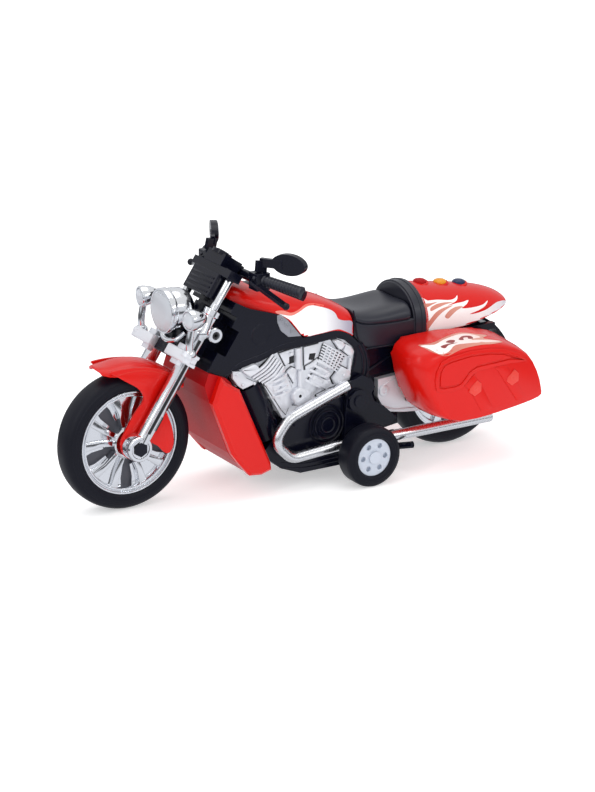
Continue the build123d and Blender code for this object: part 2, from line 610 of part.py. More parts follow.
with BuildPart() as side_stand:               # folded back beside the left bracket
    add(slab([(-40.5, 14.6), (-37, 15.4), (-35.2, 12.6), (-37, 10.4), (-40, 10.6), (-52, 12.4),
              (-53.5, 15.6)], 24.2, 27.2))
    add(rod(STAND_X, STAND_Z, 1.25, 21.4, 25))
    with BuildSketch(Plane(origin=(-49.5, 26, 13.6), x_dir=(0, 0, 1), z_dir=(-0.5, 0.83, 0.25))):
        Circle(1.9)
    extrude(amount=13)
pieces["side_stand"] = side_stand

# ---- front fork ------------------------------------------------------------------------------------
LEG_TOP = 80.0
TUBE_TOP = 101.5
with BuildPart() as fork_leg_left:
    with BuildSketch(fork_plane(0)):
        with Locations((0, LEG_Y)):
            Circle(LEG_R)
    extrude(amount=LEG_TOP)
    add(rod(AXLE_X, AXLE_Z, 7.2, 11.3, 19.3))
    with BuildSketch(fork_plane(66)):
        with Locations((-4, LEG_Y)):
            Rectangle(8, 7)
    extrude(amount=8.6)
    lug = fork_plane(70.3, -6.9)
    add(rod(lug.origin.X, lug.origin.Z, 4.3, 11.9, 19.1))
    add(rod(lug.origin.X, lug.origin.Z, 1.6, 17.5, 20), mode=Mode.SUBTRACT)
    add(rod(AXLE_X, AXLE_Z, AXLE_R + 0.01, 10, 20), mode=Mode.SUBTRACT)
    with BuildSketch(Plane(origin=(AXLE_X, 17.8, AXLE_Z), x_dir=(1, 0, 0), z_dir=(0, 1, 0))):
        RegularPolygon(4.1, 6)
    extrude(amount=3, mode=Mode.SUBTRACT)
    with BuildSketch(fork_plane(LEG_TOP - 8)):
        with Locations((0, LEG_Y)):
            Circle(TUBE_R)
    extrude(amount=9, mode=Mode.SUBTRACT)
pieces["fork_leg_left"] = fork_leg_left
mirrored("fork_leg")

with BuildPart() as fork_tubes:
    with BuildSketch(fork_plane(LEG_TOP - 8)):
        with Locations((0, LEG_Y), (0, -LEG_Y)):
            Circle(TUBE_R)
    extrude(amount=TUBE_TOP - LEG_TOP + 8)
pieces["fork_tubes"] = fork_tubes

with BuildPart() as front_axle:
    add(rod(AXLE_X, AXLE_Z, AXLE_R, -19.0, 19.0))
pieces["front_axle"] = front_axle

with BuildPart() as axle_nuts:
    for y, turn in ((17.8, 1), (-17.8, -1)):
        with BuildSketch(Plane(origin=(AXLE_X, y, AXLE_Z), x_dir=(1, 0, 0), z_dir=(0, turn, 0))):
            RegularPolygon(4.0, 6)
        extrude(amount=1.8)
    add(rod(AXLE_X, AXLE_Z, AXLE_R + 0.01, -19.1, 19.1), mode=Mode.SUBTRACT)
pieces["axle_nuts"] = axle_nuts

ARM_Y = 25.5              # turn signals stand this far out, on arms of the lower yoke
with BuildPart() as lower_yoke:
    with BuildSketch(fork_plane(50)):
        Rectangle(12, 2 * LEG_Y + 9)
        with Locations((7.5, 0)):
            Rectangle(5, 2 * ARM_Y + 4)
        with Locations((0, LEG_Y), (0, -LEG_Y)):
            Circle(LEG_R + 0.01, mode=Mode.SUBTRACT)
    extrude(amount=6)
    with BuildSketch(fork_plane(52, -PIVOT_BACK)):
        Circle(PIN_R)
    extrude(amount=36)
    add(slab([(79.5, 82), (83, 87), (80.5, 93.2), (77.5, 93.2), (76, 86)], -4, 4))
pieces["lower_yoke"] = lower_yoke

SIGNAL = (73.4, 104.9)    # turn signal head, side view
with BuildPart() as turn_signal_left:
    with BuildSketch(Plane.XY.offset(87.0)):
        with Locations((77.0, ARM_Y)):
            Circle(2.0)
    extrude(amount=14)
    with BuildSketch(Plane(origin=(SIGNAL[0] + 5.2, ARM_Y, SIGNAL[1]), x_dir=(0, 1, 0),
                           z_dir=(-1, 0, 0))):
        Ellipse(6.0, 7.2)
    extrude(amount=6.4)
    with BuildSketch(Plane(origin=(SIGNAL[0] - 1.2, ARM_Y, SIGNAL[1]), x_dir=(0, 1, 0),
                           z_dir=(-1, 0, 0))):
        Ellipse(6.0, 7.2)
    with BuildSketch(Plane(origin=(SIGNAL[0] - 6.2, ARM_Y, SIGNAL[1] + 1), x_dir=(0, 1, 0),
                           z_dir=(-1, 0, 0))):
        Ellipse(2.4, 2.8)
    loft()
    add(lower_yoke.part, mode=Mode.SUBTRACT)
pieces["turn_signal_left"] = turn_signal_left
mirrored("turn_signal")

with BuildPart() as nose_cover:               # black cover between the upper fork tubes
    with BuildSketch(fork_plane(86)):
        with Locations((1.2, 0)):
            Rectangle(9, 25)
    extrude(amount=13)
    with BuildSketch(fork_plane(80, -PIVOT_BACK)):
        Circle(PIN_R + 0.02)
    extrude(amount=8.2, mode=Mode.SUBTRACT)
pieces["nose_cover"] = nose_cover

with BuildPart() as console:                  # top plate with the instrument pod
    with BuildSketch(fork_plane(99)):
        Rectangle(8, 2 * LEG_Y + 6.5)
        with Locations((0, LEG_Y), (0, -LEG_Y)):
            Circle(TUBE_R + 0.01, mode=Mode.SUBTRACT)
    extrude(amount=TUBE_TOP - 99)
    with BuildSketch(fork_plane(TUBE_TOP)):
        Rectangle(8, 2 * LEG_Y + 6.5)
    extrude(amount=2)
    with BuildSketch(fork_plane(TUBE_TOP + 2)):
        with Locations((-1, 0)):
            Rectangle(12, 17)
    extrude(amount=6.5)
pieces["console"] = console

BAR_MID, BAR_END = (32.8, 34, 121.4), (22.6, 49.5, 117)   # the grip's slope
with BuildPart() as half_bar:                 # bar, switch pod, lever and grip of the left side
    with BuildSketch(Plane(origin=(34.5, 0, 119.0), x_dir=(1, 0, 0), z_dir=(0, 1, 0.03))):
        Circle(2.6)
    extrude(amount=30)
    grip_dir = (BAR_END[0] - BAR_MID[0], BAR_END[1] - BAR_MID[1], BAR_END[2] - BAR_MID[2])
    with BuildSketch(Plane(origin=(34.2, 28, 120.4), x_dir=(1, 0, 0), z_dir=grip_dir)):
        Circle(2.7)
    extrude(amount=24)
    with BuildSketch(Plane.XY.offset(115.5)):
        with Locations((35.5, 26)):
            Rectangle(8, 8)
    extrude(amount=9)
    with BuildSketch(Plane(origin=(40.2, 26, 120.2), x_dir=(1, 0, 0), z_dir=(-7.2, 20.6, -8.7))):
        Rectangle(3.2, 1.8)
    extrude(amount=25)
    add(Pos(33.4, 49.0, 111.6) * Sphere(1.9))
with BuildPart() as handlebar:
    add(half_bar.part)
    split(bisect_by=Plane.XZ, keep=Keep.BOTTOM)
    mirror(about=Plane.XZ)
    with BuildSketch(Plane(origin=(34.5, 0, 119.0), x_dir=(0, 1, 0), z_dir=(C, 0, S))):
        Rectangle(12, 7)
    extrude(amount=9)
    add(console.part, mode=Mode.SUBTRACT)
    add(nose_cover.part, mode=Mode.SUBTRACT)
pieces["handlebar"] = handlebar

with BuildPart() as mirror_left:              # flat stalk and oval head, one moulding
    with BuildSketch(Plane(origin=(34.8, 26, 124.5), x_dir=(1, 0, 0), z_dir=(-0.15, -0.1, 1))):
        Rectangle(6, 2.4)
    extrude(amount=6)
    with BuildSketch(Plane(origin=(33.9, 24.6, 129.4), x_dir=(0, 0, 1), z_dir=(-0.48, 0.87, 0.03))):
        Rectangle(4.6, 2.4)
    extrude(amount=13)
    with BuildSketch(Plane(origin=(26.7, 39.6, 130.2), x_dir=(-0.45, 0.89, 0),
                           z_dir=(-0.89, -0.45, 0))):
        Ellipse(10, 5.6)
    extrude(amount=4.0)
    fillet(mirror_left.faces().sort_by(Axis.X)[0].edges(), radius=0.8)
    add(handlebar.part, mode=Mode.SUBTRACT)
pieces["mirror_left"] = mirror_left
mirrored("mirror")

# ---- headlight: bullet shell, clear lens and lamp ---------------------------------------------------
LAMP_Z = 103.5
with BuildPart() as headlight_housing:
    with BuildSketch(Plane.XZ):
        with BuildLine():
            Polyline((61.8, LAMP_Z), (62.2, LAMP_Z + 3.2))
            Spline((62.2, LAMP_Z + 3.2), (65, LAMP_Z + 6.6), (69.5, LAMP_Z + 10), (75, LAMP_Z + 12))
            Polyline((75, LAMP_Z + 12), (78.2, LAMP_Z + 12), (78.2, LAMP_Z + 10.4),
                     (72, LAMP_Z + 8.6), (68.0, LAMP_Z), (61.8, LAMP_Z))
        make_face()
    revolve(axis=Axis((0, 0, LAMP_Z), (1, 0, 0)))
    add(slab([(77.4, 90.5), (80.6, 90.5), (80.6, 93.2), (77.4, 93.2)], -4, 4), mode=Mode.SUBTRACT)
    add(lower_yoke.part, mode=Mode.SUBTRACT)
pieces["headlight_housing"] = headlight_housing

with BuildPart() as headlight_lens:
    with BuildSketch(Plane.XZ):
        with BuildLine():
            Polyline((81.8, LAMP_Z), (78.3, LAMP_Z), (78.3, LAMP_Z + 10.2), (78.7, LAMP_Z + 10.2))
            Spline((78.7, LAMP_Z + 10.2), (80.8, LAMP_Z + 5.6), (81.8, LAMP_Z),
                   tangents=((1, -0.9), (0, -1)))
        make_face()
    revolve(axis=Axis((0, 0, LAMP_Z), (1, 0, 0)))
pieces["headlight_lens"] = headlight_lens

with BuildPart() as headlight_led:
    with BuildSketch(cross(69.4)):
        with Locations((0, LAMP_Z)):
            Circle(2.4)
    extrude(amount=4)
pieces["headlight_led"] = headlight_led

# ---- front fender with its side plates down to the axle --------------------------------------------
FENDER_PLATE = [(115.2, 79.2), (108.6, 75.4), (102.2, 69.5), (98.6, 66.6), (96, 60), (103.6, 51.8),
                (108.6, 42), (110.6, 37), (107.5, 31), (102, 28.6), (96.5, 31), (94.2, 37),
                (94, 45), (84, 60), (73.5, 69.5), (85, 77.2), (95, 80.2), (106, 80.6)]
with BuildPart() as front_fender:
    with BuildSketch(Plane(origin=(AXLE_X, 0, AXLE_Z), x_dir=(0, -1, 0),
                           z_dir=(-sin(radians(72)), 0, cos(radians(72))))):
        with BuildLine():
            ThreePointArc((-11.2, 41.2), (0, 44.0), (11.2, 41.2))
            Line((11.2, 41.2), (9.8, 40.6))
            ThreePointArc((9.8, 40.6), (0, 42.6), (-9.8, 40.6))
            Line((-9.8, 40.6), (-11.2, 41.2))
        make_face()
    revolve(axis=Axis((AXLE_X, 0, AXLE_Z), (0, -1, 0)), revolution_arc=63)
    add(slab(FENDER_PLATE, 9.8, 11.2))
    add(rod(AXLE_X, AXLE_Z, AXLE_R + 0.01, 5, 15), mode=Mode.SUBTRACT)
    split(bisect_by=Plane.XZ, keep=Keep.BOTTOM)
    mirror(about=Plane.XZ)
pieces["front_fender"] = front_fender

# ---- files ---------------------------------------------------------------------------------------
for name, piece in pieces.items():
    piece.part.label = name
    export_step(piece.part, f"parts/{name}.step")
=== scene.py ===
import math

import bmesh
import bpy
from mathutils import Matrix, Vector
from mathutils.bvhtree import BVHTree


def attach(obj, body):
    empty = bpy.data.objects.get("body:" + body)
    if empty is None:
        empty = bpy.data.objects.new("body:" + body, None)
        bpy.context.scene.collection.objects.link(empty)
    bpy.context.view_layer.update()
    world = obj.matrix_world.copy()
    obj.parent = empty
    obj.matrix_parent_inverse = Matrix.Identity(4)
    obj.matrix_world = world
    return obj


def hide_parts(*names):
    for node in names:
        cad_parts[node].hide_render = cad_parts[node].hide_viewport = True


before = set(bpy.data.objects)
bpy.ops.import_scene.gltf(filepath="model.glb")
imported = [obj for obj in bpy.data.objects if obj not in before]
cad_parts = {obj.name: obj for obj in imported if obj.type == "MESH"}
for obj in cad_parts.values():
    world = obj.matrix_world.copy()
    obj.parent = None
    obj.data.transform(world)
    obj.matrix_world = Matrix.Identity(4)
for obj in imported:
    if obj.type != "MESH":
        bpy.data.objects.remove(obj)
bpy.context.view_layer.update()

# ---------------------------------------------------------------- camera
# A long lens looks down on the front left of the toy from about a metre and a half away.
LENS_MM = 120.11
CAMERA_PLACE = Vector((0.71814, 1.14938, 0.49779))
LOOKING = Vector((-0.50484, -0.80259, -0.31777)).normalized()
CAMERA_ROLL = 0.010

across = LOOKING.cross(Vector((0, 0, 1))).normalized()
above = across.cross(LOOKING)
rolled_across = across * math.cos(CAMERA_ROLL) + above * math.sin(CAMERA_ROLL)
rolled_above = above * math.cos(CAMERA_ROLL) - across * math.sin(CAMERA_ROLL)
camera_lens = bpy.data.cameras.new("camera")
camera_lens.lens = LENS_MM
camera_lens.clip_start = 0.05
camera_lens.clip_end = 30
camera = bpy.data.objects.new("camera", camera_lens)
camera.matrix_world = Matrix(
    (
        (rolled_across.x, rolled_above.x, -LOOKING.x, CAMERA_PLACE.x),
        (rolled_across.y, rolled_above.y, -LOOKING.y, CAMERA_PLACE.y),
        (rolled_across.z, rolled_above.z, -LOOKING.z, CAMERA_PLACE.z),
        (0, 0, 0, 1),
    )
)
bpy.context.scene.collection.objects.link(camera)
bpy.context.scene.camera = camera
bpy.context.scene.view_settings.view_transform = "Standard"


# ---------------------------------------------------------------- studio
# A white paper floor, a pale room that is darker near the horizon, one big overhead softbox and
# two narrow strip lights, which draw the thin bright lines that gloss plastic shows.
def linear(code):
    """An sRGB hex colour as the linear red, green, blue and alpha that a shader takes."""
    parts = [int(code[i : i + 2], 16) / 255 for i in (0, 2, 4)]
    return [p / 12.92 if p <= 0.04045 else ((p + 0.055) / 1.055) ** 2.4 for p in parts] + [1.0]


def add_node(tree, kind, inputs=None, **settings):
    """Adds one shader node. An input is either a value or another node's output socket."""
    node = tree.nodes.new("ShaderNode" + kind)
    for name, value in settings.items():
        setattr(node, name, value)
    for name, value in (inputs or {}).items():
        if isinstance(value, bpy.types.NodeSocket):
            tree.links.new(value, node.inputs[name])
        else:
            node.inputs[name].default_value = value
    return node


def softbox(name, place, target, size, watts, mirrored=True):
    """A rectangular light of size (width, height) in metres that faces its target."""
    light = bpy.data.lights.new(name, "AREA")
    light.shape = "RECTANGLE"
    light.size = size[0]
    light.size_y = size[1]
    light.energy = watts
    lamp = bpy.data.objects.new(name, light)
    lamp.location = place
    lamp.rotation_mode = "QUATERNION"
    lamp.rotation_quaternion = (Vector(target) - Vector(place)).to_track_quat("-Z", "Y")
    lamp.visible_glossy = mirrored
    bpy.context.scene.collection.objects.link(lamp)


softbox("overhead", (0.0, -0.15, 1.3), (0, 0, 0), (1.5, 1.0), 5.6)
softbox("strip_front", (1.3, 0.5, 0.9), (0, 0, 0.06), (0.10, 1.0), 2.4)
softbox("strip_side", (-0.5, 1.5, 0.9), (-0.02, 0, 0.06), (1.3, 0.10), 3.0)
softbox("fill_left", (0.3, 1.6, 0.45), (0, 0, 0.05), (1.2, 0.5), 1.7, mirrored=False)

room = bpy.data.worlds.new("room")
bpy.context.scene.world = room
room.use_nodes = True
room.node_tree.nodes.clear()
direction = add_node(room.node_tree, "TexCoord")
height = add_node(room.node_tree, "SeparateXYZ", {0: direction.outputs["Generated"]})
climb = add_node(
    room.node_tree, "MapRange", {"Value": height.outputs["Z"], "From Min": -1.0, "From Max": 1.0}
)
walls = add_node(room.node_tree, "ValToRGB", {0: climb.outputs[0]})
for position, grey in ((0.30, 0.98), (0.365, 0.94), (0.405, 0.10), (0.475, 0.08), (0.49, 0.85)):
    walls.color_ramp.elements.new(position).color = (grey, grey * 1.02, grey * 1.08, 1)
walls.color_ramp.elements[0].color = (0.62, 0.62, 0.64, 1)
walls.color_ramp.elements[-1].position = 0.88
walls.color_ramp.elements[-1].color = (1.0, 1.0, 1.0, 1)
glow = add_node(room.node_tree, "Background", {"Color": walls.outputs["Color"], "Strength": 0.82})
add_node(room.node_tree, "OutputWorld", {"Surface": glow.outputs["Background"]})

FLOOR_SIZE = 14.0
floor_mesh = bmesh.new()
bmesh.ops.create_grid(floor_mesh, x_segments=4, y_segments=4, size=FLOOR_SIZE)
floor_data = bpy.data.meshes.new("floor")
floor_mesh.to_mesh(floor_data)
floor_mesh.free()
floor = bpy.data.objects.new("floor", floor_data)
bpy.context.scene.collection.objects.link(floor)
floor.visible_glossy = False

paper = bpy.data.materials.new("white_matt_paper")  # even white with no sheen, so only shadows show
paper.use_nodes = True
paper_shader = paper.node_tree.nodes["Principled BSDF"]
paper_shader.inputs["Base Color"].default_value = linear("f7f7f7")
paper_shader.inputs["Roughness"].default_value = 0.9
paper_shader.inputs["Specular IOR Level"].default_value = 0.0
paper_shader.inputs["Emission Color"].default_value = (1, 1, 1, 1)
paper_shader.inputs["Emission Strength"].default_value = 0.42
floor_data.materials.append(paper)


# ---------------------------------------------------------------- moulded shells kept from the CAD
# The two frame halves, brackets and small black parts are injection-moulded ABS in navy black,
# screwed together from the right.
MM = 0.001


def plastic(
    name, colour, rough, *, flow_mm=22, tint=0.90, grain_mm=0.9, bump=0.03,
    rounding_mm=0.25, metal=0.0, gloss=0.5, edge_wear_and_highlight=None,
):
    """Moulded or plated plastic: faint flow marks in the colour, a fine skin in the roughness
    and bump, softly rounded edges, and patchy paler edges, part wear and part painted highlight, where an
    edge colour is given."""
    material = bpy.data.materials.new(name)
    material.use_nodes = True
    tree = material.node_tree
    shader = tree.nodes["Principled BSDF"]
    place = add_node(tree, "TexCoord")
    flow = add_node(
        tree, "TexNoise", {"Vector": place.outputs["Object"], "Scale": 1 / (flow_mm * MM), "Detail": 3.0}
    )
    shade = [c * tint for c in linear(colour)[:3]] + [1.0]
    body = add_node(tree, "Mix", {"Factor": flow.outputs[0]}, data_type="RGBA")
    body.inputs[6].default_value = linear(colour)
    body.inputs[7].default_value = shade
    skin = add_node(
        tree, "TexNoise", {"Vector": place.outputs["Object"], "Scale": 1 / (grain_mm * MM), "Detail": 4.0}
    )
    sheen = add_node(
        tree, "MapRange",
        {"Value": skin.outputs[0], "From Min": 0.3, "From Max": 0.7,
         "To Min": rough * 0.88, "To Max": rough * 1.12},
    )
    soft = add_node(tree, "Bevel", {"Radius": rounding_mm * MM}, samples=4)
    relief = add_node(
        tree, "Bump",
        {"Height": skin.outputs[0], "Strength": bump, "Distance": 0.05 * MM, "Normal": soft.outputs[0]},
    )
    tree.links.new(sheen.outputs[0], shader.inputs["Roughness"])
    tree.links.new(relief.outputs[0], shader.inputs["Normal"])
    finish = body.outputs[2]
    # edges turn paler in patches towards the edge colour: partly wear, partly painted highlight
    if edge_wear_and_highlight:
        surface = add_node(tree, "NewGeometry")
        edge = add_node(tree, "Bevel", {"Radius": 0.35 * MM}, samples=4)
        turn = add_node(
            tree, "VectorMath", {0: edge.outputs[0], 1: surface.outputs["Normal"]}, operation="DOT_PRODUCT"
        )
        wear_and_highlight_edges = add_node(
            tree, "MapRange", {"Value": turn.outputs["Value"], "From Min": 0.97, "From Max": 0.8}
        )
        patchy = add_node(tree, "Math", {0: wear_and_highlight_edges.outputs[0], 1: skin.outputs[0]}, operation="MULTIPLY")
        rim = add_node(tree, "Mix", {"Factor": patchy.outputs[0], 6: finish}, data_type="RGBA")
        rim.inputs[7].default_value = linear(edge_wear_and_highlight)
        finish = rim.outputs[2]
    tree.links.new(finish, shader.inputs["Base Color"])
    shader.inputs["Metallic"].default_value = metal
    if not metal:
        shader.inputs["IOR"].default_value = 1.53
    shader.inputs["Specular IOR Level"].default_value = gloss
    return material


def finish_nodes(material, *names):
    """A CAD node keeps its shape and takes this material."""
    for name in names:
        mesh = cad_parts[name].data
        mesh.materials.clear()
        mesh.materials.append(material)


# gloss black ABS, polished mould: deep navy black with clear reflections and paler edges, partly wear and
# partly painted highlight
black_abs = plastic("black_abs_moulded", "0a0c1b", 0.2, gloss=0.27, bump=0.015, edge_wear_and_highlight="33364a")
# red ABS, high-gloss mould: saturated, slightly orange red with soft pink reflections
red_abs = plastic("red_abs_moulded", "d6120a", 0.24, gloss=0.32, tint=0.94, bump=0.012, edge_wear_and_highlight="ec4a38")
dark_red_abs = plastic(
    "dark_red_abs_moulded", "ae0a10", 0.38, gloss=0.14, tint=0.9, bump=0.012, edge_wear_and_highlight="cc3322"
)
# vacuum-plated ABS: bright, slightly blue-white metal film
chrome = plastic("chrome_plated_abs", "eef0f4", 0.13, tint=0.95, metal=1.0, bump=0.02)
# silver-grey painted polypropylene: pale, with a soft satin shine
silver = plastic("silver_painted_plastic", "e9ebf1", 0.32, tint=0.95, metal=0.4, bump=0.04)
# soft PVC: navy black with almost no shine and paler edges, partly wear and partly painted highlight
rubber = plastic(
    "black_pvc_tyre", "0c0e1b", 0.48, gloss=0.22, tint=0.85, grain_mm=0.6, bump=0.06, edge_wear_and_highlight="262834"
)
# satin black ABS: slate navy with a broad dull shine, from a blasted mould
satin_black = plastic("satin_black_abs", "1a1c29", 0.36, gloss=0.5, grain_mm=0.5, bump=0.05, edge_wear_and_highlight="3c4056")
# pale grey polypropylene: bluish and slightly waxy
hub_grey = plastic("pale_grey_polypropylene", "c3cbd8", 0.35, tint=0.93, edge_wear_and_highlight="e8ecf2")
# zinc-plated steel: mid grey metal, duller than the chrome
steel = plastic("zinc_plated_steel", "a9abb0", 0.28, metal=1.0, bump=0.05)
# white acetal: off-white and smooth, for the gear
gear_white = plastic("white_acetal", "d8d6cc", 0.4)
# clear polycarbonate: glassy, with bright small highlights
lens_clear = plastic("clear_polycarbonate", "f2f4f7", 0.06, tint=0.98)
lens_clear.node_tree.nodes["Principled BSDF"].inputs["Transmission Weight"].default_value = 0.85
# gloss ABS in two more button colours: amber yellow and dark navy blue
yellow_gloss = plastic("yellow_abs_button", "e8970c", 0.2, gloss=0.4, edge_wear_and_highlight="ffd070")
blue_gloss = plastic("blue_abs_button", "16264f", 0.2, gloss=0.4, edge_wear_and_highlight="4a5f96")
# solder mask on the board and black paper in the speaker, both mostly hidden
board = plastic("green_solder_mask", "1d5a33", 0.35)
speaker_black = plastic("black_paper_cone", "17171a", 0.7)

finish_nodes(black_abs, "frame_left", "frame_right", "backrest", "trainer_bracket_left",
             "trainer_bracket_right", "rear_fender", "nose_cover", "console", "handlebar", "mirror_left",
             "mirror_right", "side_stand", "battery_door", "axle_nuts")
finish_nodes(satin_black, "seat")
finish_nodes(red_abs, "fuel_tank", "tail_shell", "saddlebag_left", "saddlebag_right", "bag_backs",
             "side_panel_left", "side_panel_right", "front_fender", "button_red")
finish_nodes(dark_red_abs, "chin_fairing")
finish_nodes(silver, "engine_left", "engine_right", "swing_arm_left", "swing_arm_right", "lower_yoke")
finish_nodes(chrome, "exhaust_left", "exhaust_right", "fork_leg_left", "fork_leg_right", "fork_tubes",
             "headlight_housing", "turn_signal_left", "turn_signal_right", "front_rim", "rear_rim")
finish_nodes(rubber, "front_tyre", "rear_tyre", "trainer_tyre_left", "trainer_tyre_right")
finish_nodes(hub_grey, "trainer_hub_left", "trainer_hub_right")
finish_nodes(lens_clear, "headlight_lens", "headlight_led")
finish_nodes(yellow_gloss, "button_yellow")
finish_nodes(blue_gloss, "button_blue")
finish_nodes(steel, "body_screws", "front_axle", "rear_axle", "trainer_axle", "flywheel", "battery_cells")
finish_nodes(gear_white, "idler_gear")
finish_nodes(board, "circuit_board")
finish_nodes(speaker_black, "speaker")


# ---------------------------------------------------------------- road wheels
# Each wheel is a soft tyre stretched over a plated rim of five twin spokes. The steel axle
# runs through the hub. The tyre's side has faint moulded rings and its tread is smooth.
WHEEL_X = 102.2
AXLE_Z = 37.0
TYRE_HALF = [
    (6.4, 28.0), (7.2, 28.3), (7.6, 29.0), (7.55, 29.6), (7.9, 30.0), (8.0, 31.6), (7.85, 31.9),
    (7.95, 32.3), (7.6, 33.7), (7.3, 33.9), (7.2, 34.3), (6.2, 35.6), (4.6, 36.5), (2.4, 36.93),
    (0.0, 37.0),
]
RIM_HALF = [
    (6.5, 28.2), (6.9, 27.9), (6.9, 27.2), (6.5, 26.95), (5.4, 26.9), (5.2, 26.7), (5.2, 26.3),
    (5.4, 26.1), (5.9, 25.95), (5.9, 25.2), (4.9, 24.7), (2.0, 24.4),
]
HUB_HALF = [(6.6, 4.0), (6.6, 7.8), (6.0, 8.6), (4.3, 9.0), (3.0, 9.2)]
SPOKE_START = 18


def turned(bm, profile, x, y, z, steps=72, closed=True):
    """Spins a (y, radius) profile a full turn about the line through x, z along y."""
    verts = [bm.verts.new((x, y + along, z + radius)) for along, radius in profile]
    ends = verts[1:] + verts[:1] if closed else verts[1:]
    edges = [bm.edges.new(pair) for pair in zip(verts, ends)]
    bmesh.ops.spin(
        bm, geom=verts + edges, cent=(x, y, z), axis=(0, 1, 0), angle=math.tau, steps=steps, use_merge=True
    )


def mirrored_profile(half):
    """A profile's outer half with its mirror image about y = 0, as one ring of points."""
    return half + [(-along, radius) for along, radius in reversed(half) if along > 0]


def pushed_out(bm, face, shift):
    """Extrudes a face by a shift and gives back the face at the far end."""
    made = bmesh.ops.extrude_face_region(bm, geom=[face])["geom"]
    bmesh.ops.translate(bm, vec=shift, verts=[g for g in made if isinstance(g, bmesh.types.BMVert)])
    return [g for g in made if isinstance(g, bmesh.types.BMFace)]


def plate(bm, outline, y0, y1, edge=0.0):
    """Extrudes a side-view outline from y0 to y1, with bevelled rims."""
    face = bm.faces.new([bm.verts.new((x, y0, z)) for x, z in outline])
    far_faces = pushed_out(bm, face, (0, y1 - y0, 0))
    if edge:
        rim = {e for far_face in far_faces for e in far_face.edges}
        bmesh.ops.bevel(
            bm, geom=list(rim), offset=edge, affect="EDGES", segments=2, profile=0.5, material=-1
        )


def piece(name, bm, materials, body, replaces=(), smooth=35, bevel=0.0, subdivide=0):
    """Closes a mesh made in millimetres and makes it an object in metres that rides on its body."""
    bmesh.ops.remove_doubles(bm, verts=bm.verts, dist=0.004)
    bmesh.ops.recalc_face_normals(bm, faces=bm.faces)
    bmesh.ops.scale(bm, vec=(MM, MM, MM), verts=bm.verts)
    mesh = bpy.data.meshes.new(name)
    bm.to_mesh(mesh)
    bm.free()
    for material in materials:
        mesh.materials.append(material)
    mesh.shade_smooth()
    mesh.set_sharp_from_angle(angle=math.radians(smooth))
    made = bpy.data.objects.new(name, mesh)
    bpy.context.scene.collection.objects.link(made)
    if bevel:
        rounding = made.modifiers.new("rounding", "BEVEL")
        rounding.width = bevel * MM
        rounding.segments = 2
        rounding.angle_limit = math.radians(35)
        rounding.harden_normals = True
    if subdivide:
        smoothing = made.modifiers.new("smoothing", "SUBSURF")
        smoothing.levels = subdivide
        smoothing.render_levels = subdivide
    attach(made, body)
    if replaces:
        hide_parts(*replaces)
    return made


def polar(radius, degrees):
    return radius * math.cos(math.radians(degrees)), radius * math.sin(math.radians(degrees))


def round_wheel(x, degrees, points):
    """Side-view points from (radius, angle from the spoke) pairs about a wheel's middle."""
    return [(x + polar(r, degrees + a)[0], AXLE_Z + polar(r, degrees + a)[1]) for r, a in points]


def spoke_pair(bm, x, facing, degrees):
    """Two broad arms of one spoke with the scooped cell between them, on one face of the wheel."""
    for lean in (-1, 1):
        arm = [(8.0, lean * 5), (8.6, lean * 24), (17.0, lean * 18.5), (25.2, lean * 21), (25.2, lean * 11),
               (17.0, lean * 7.5)]
        plate(bm, round_wheel(x, degrees, arm), facing * 1.2, facing * 5.2, edge=0.45)
    cell = [(8.0, -9), (8.0, 9), (17.5, 8.5), (25.2, 11.5), (25.2, -11.5), (17.5, -8.5)]
    plate(bm, round_wheel(x, degrees, cell), facing * 1.0, facing * 3.2)
    web = [(13.5, 21), (13.5, 27), (20.5, 26.5), (25.2, 29), (25.2, 18)]
    for lean in (-1, 1):
        plate(bm, round_wheel(x, degrees, [(r, lean * a) for r, a in web]), facing * 0.6, facing * 2.4)


# grey painted shade: a grey disc in the wheel's middle plane stands in for the shaded inner walls seen
# through the spoke windows
spoke_window_shade = plastic("grey_painted_window_shade", "55565e", 0.5, metal=0.2)

for wheel_name, wheel_x, wheel_body in (("front", WHEEL_X, "front_wheel"), ("rear", -WHEEL_X, "rear_wheel")):
    tyre = bmesh.new()
    turned(tyre, mirrored_profile(TYRE_HALF), wheel_x, 0, AXLE_Z, steps=112)
    piece(
        f"{wheel_name}_tyre_rubber", tyre, [rubber], wheel_body,
        [f"{wheel_name}_tyre"], smooth=24,
    )
    rim = bmesh.new()
    turned(rim, mirrored_profile(RIM_HALF), wheel_x, 0, AXLE_Z, steps=112)
    turned(rim, mirrored_profile(HUB_HALF), wheel_x, 0, AXLE_Z, steps=64)
    for facing in (1, -1):
        for step in range(5):
            spoke_pair(rim, wheel_x, facing, SPOKE_START + 72 * step)
    replaced = ["front_rim"] if wheel_name == "front" else []
    piece(f"{wheel_name}_rim_plated", rim, [chrome], wheel_body, replaced, smooth=30)
    # a disc of grey painted shade between the two spoke faces
    shade_disc = bmesh.new()
    turned(shade_disc, [(-0.5, 8.0), (0.5, 8.0), (0.5, 24.9), (-0.5, 24.9)], wheel_x, 0, AXLE_Z, steps=64)
    piece(f"{wheel_name}_rim_painted_shade_disc", shade_disc, [spoke_window_shade], wheel_body)


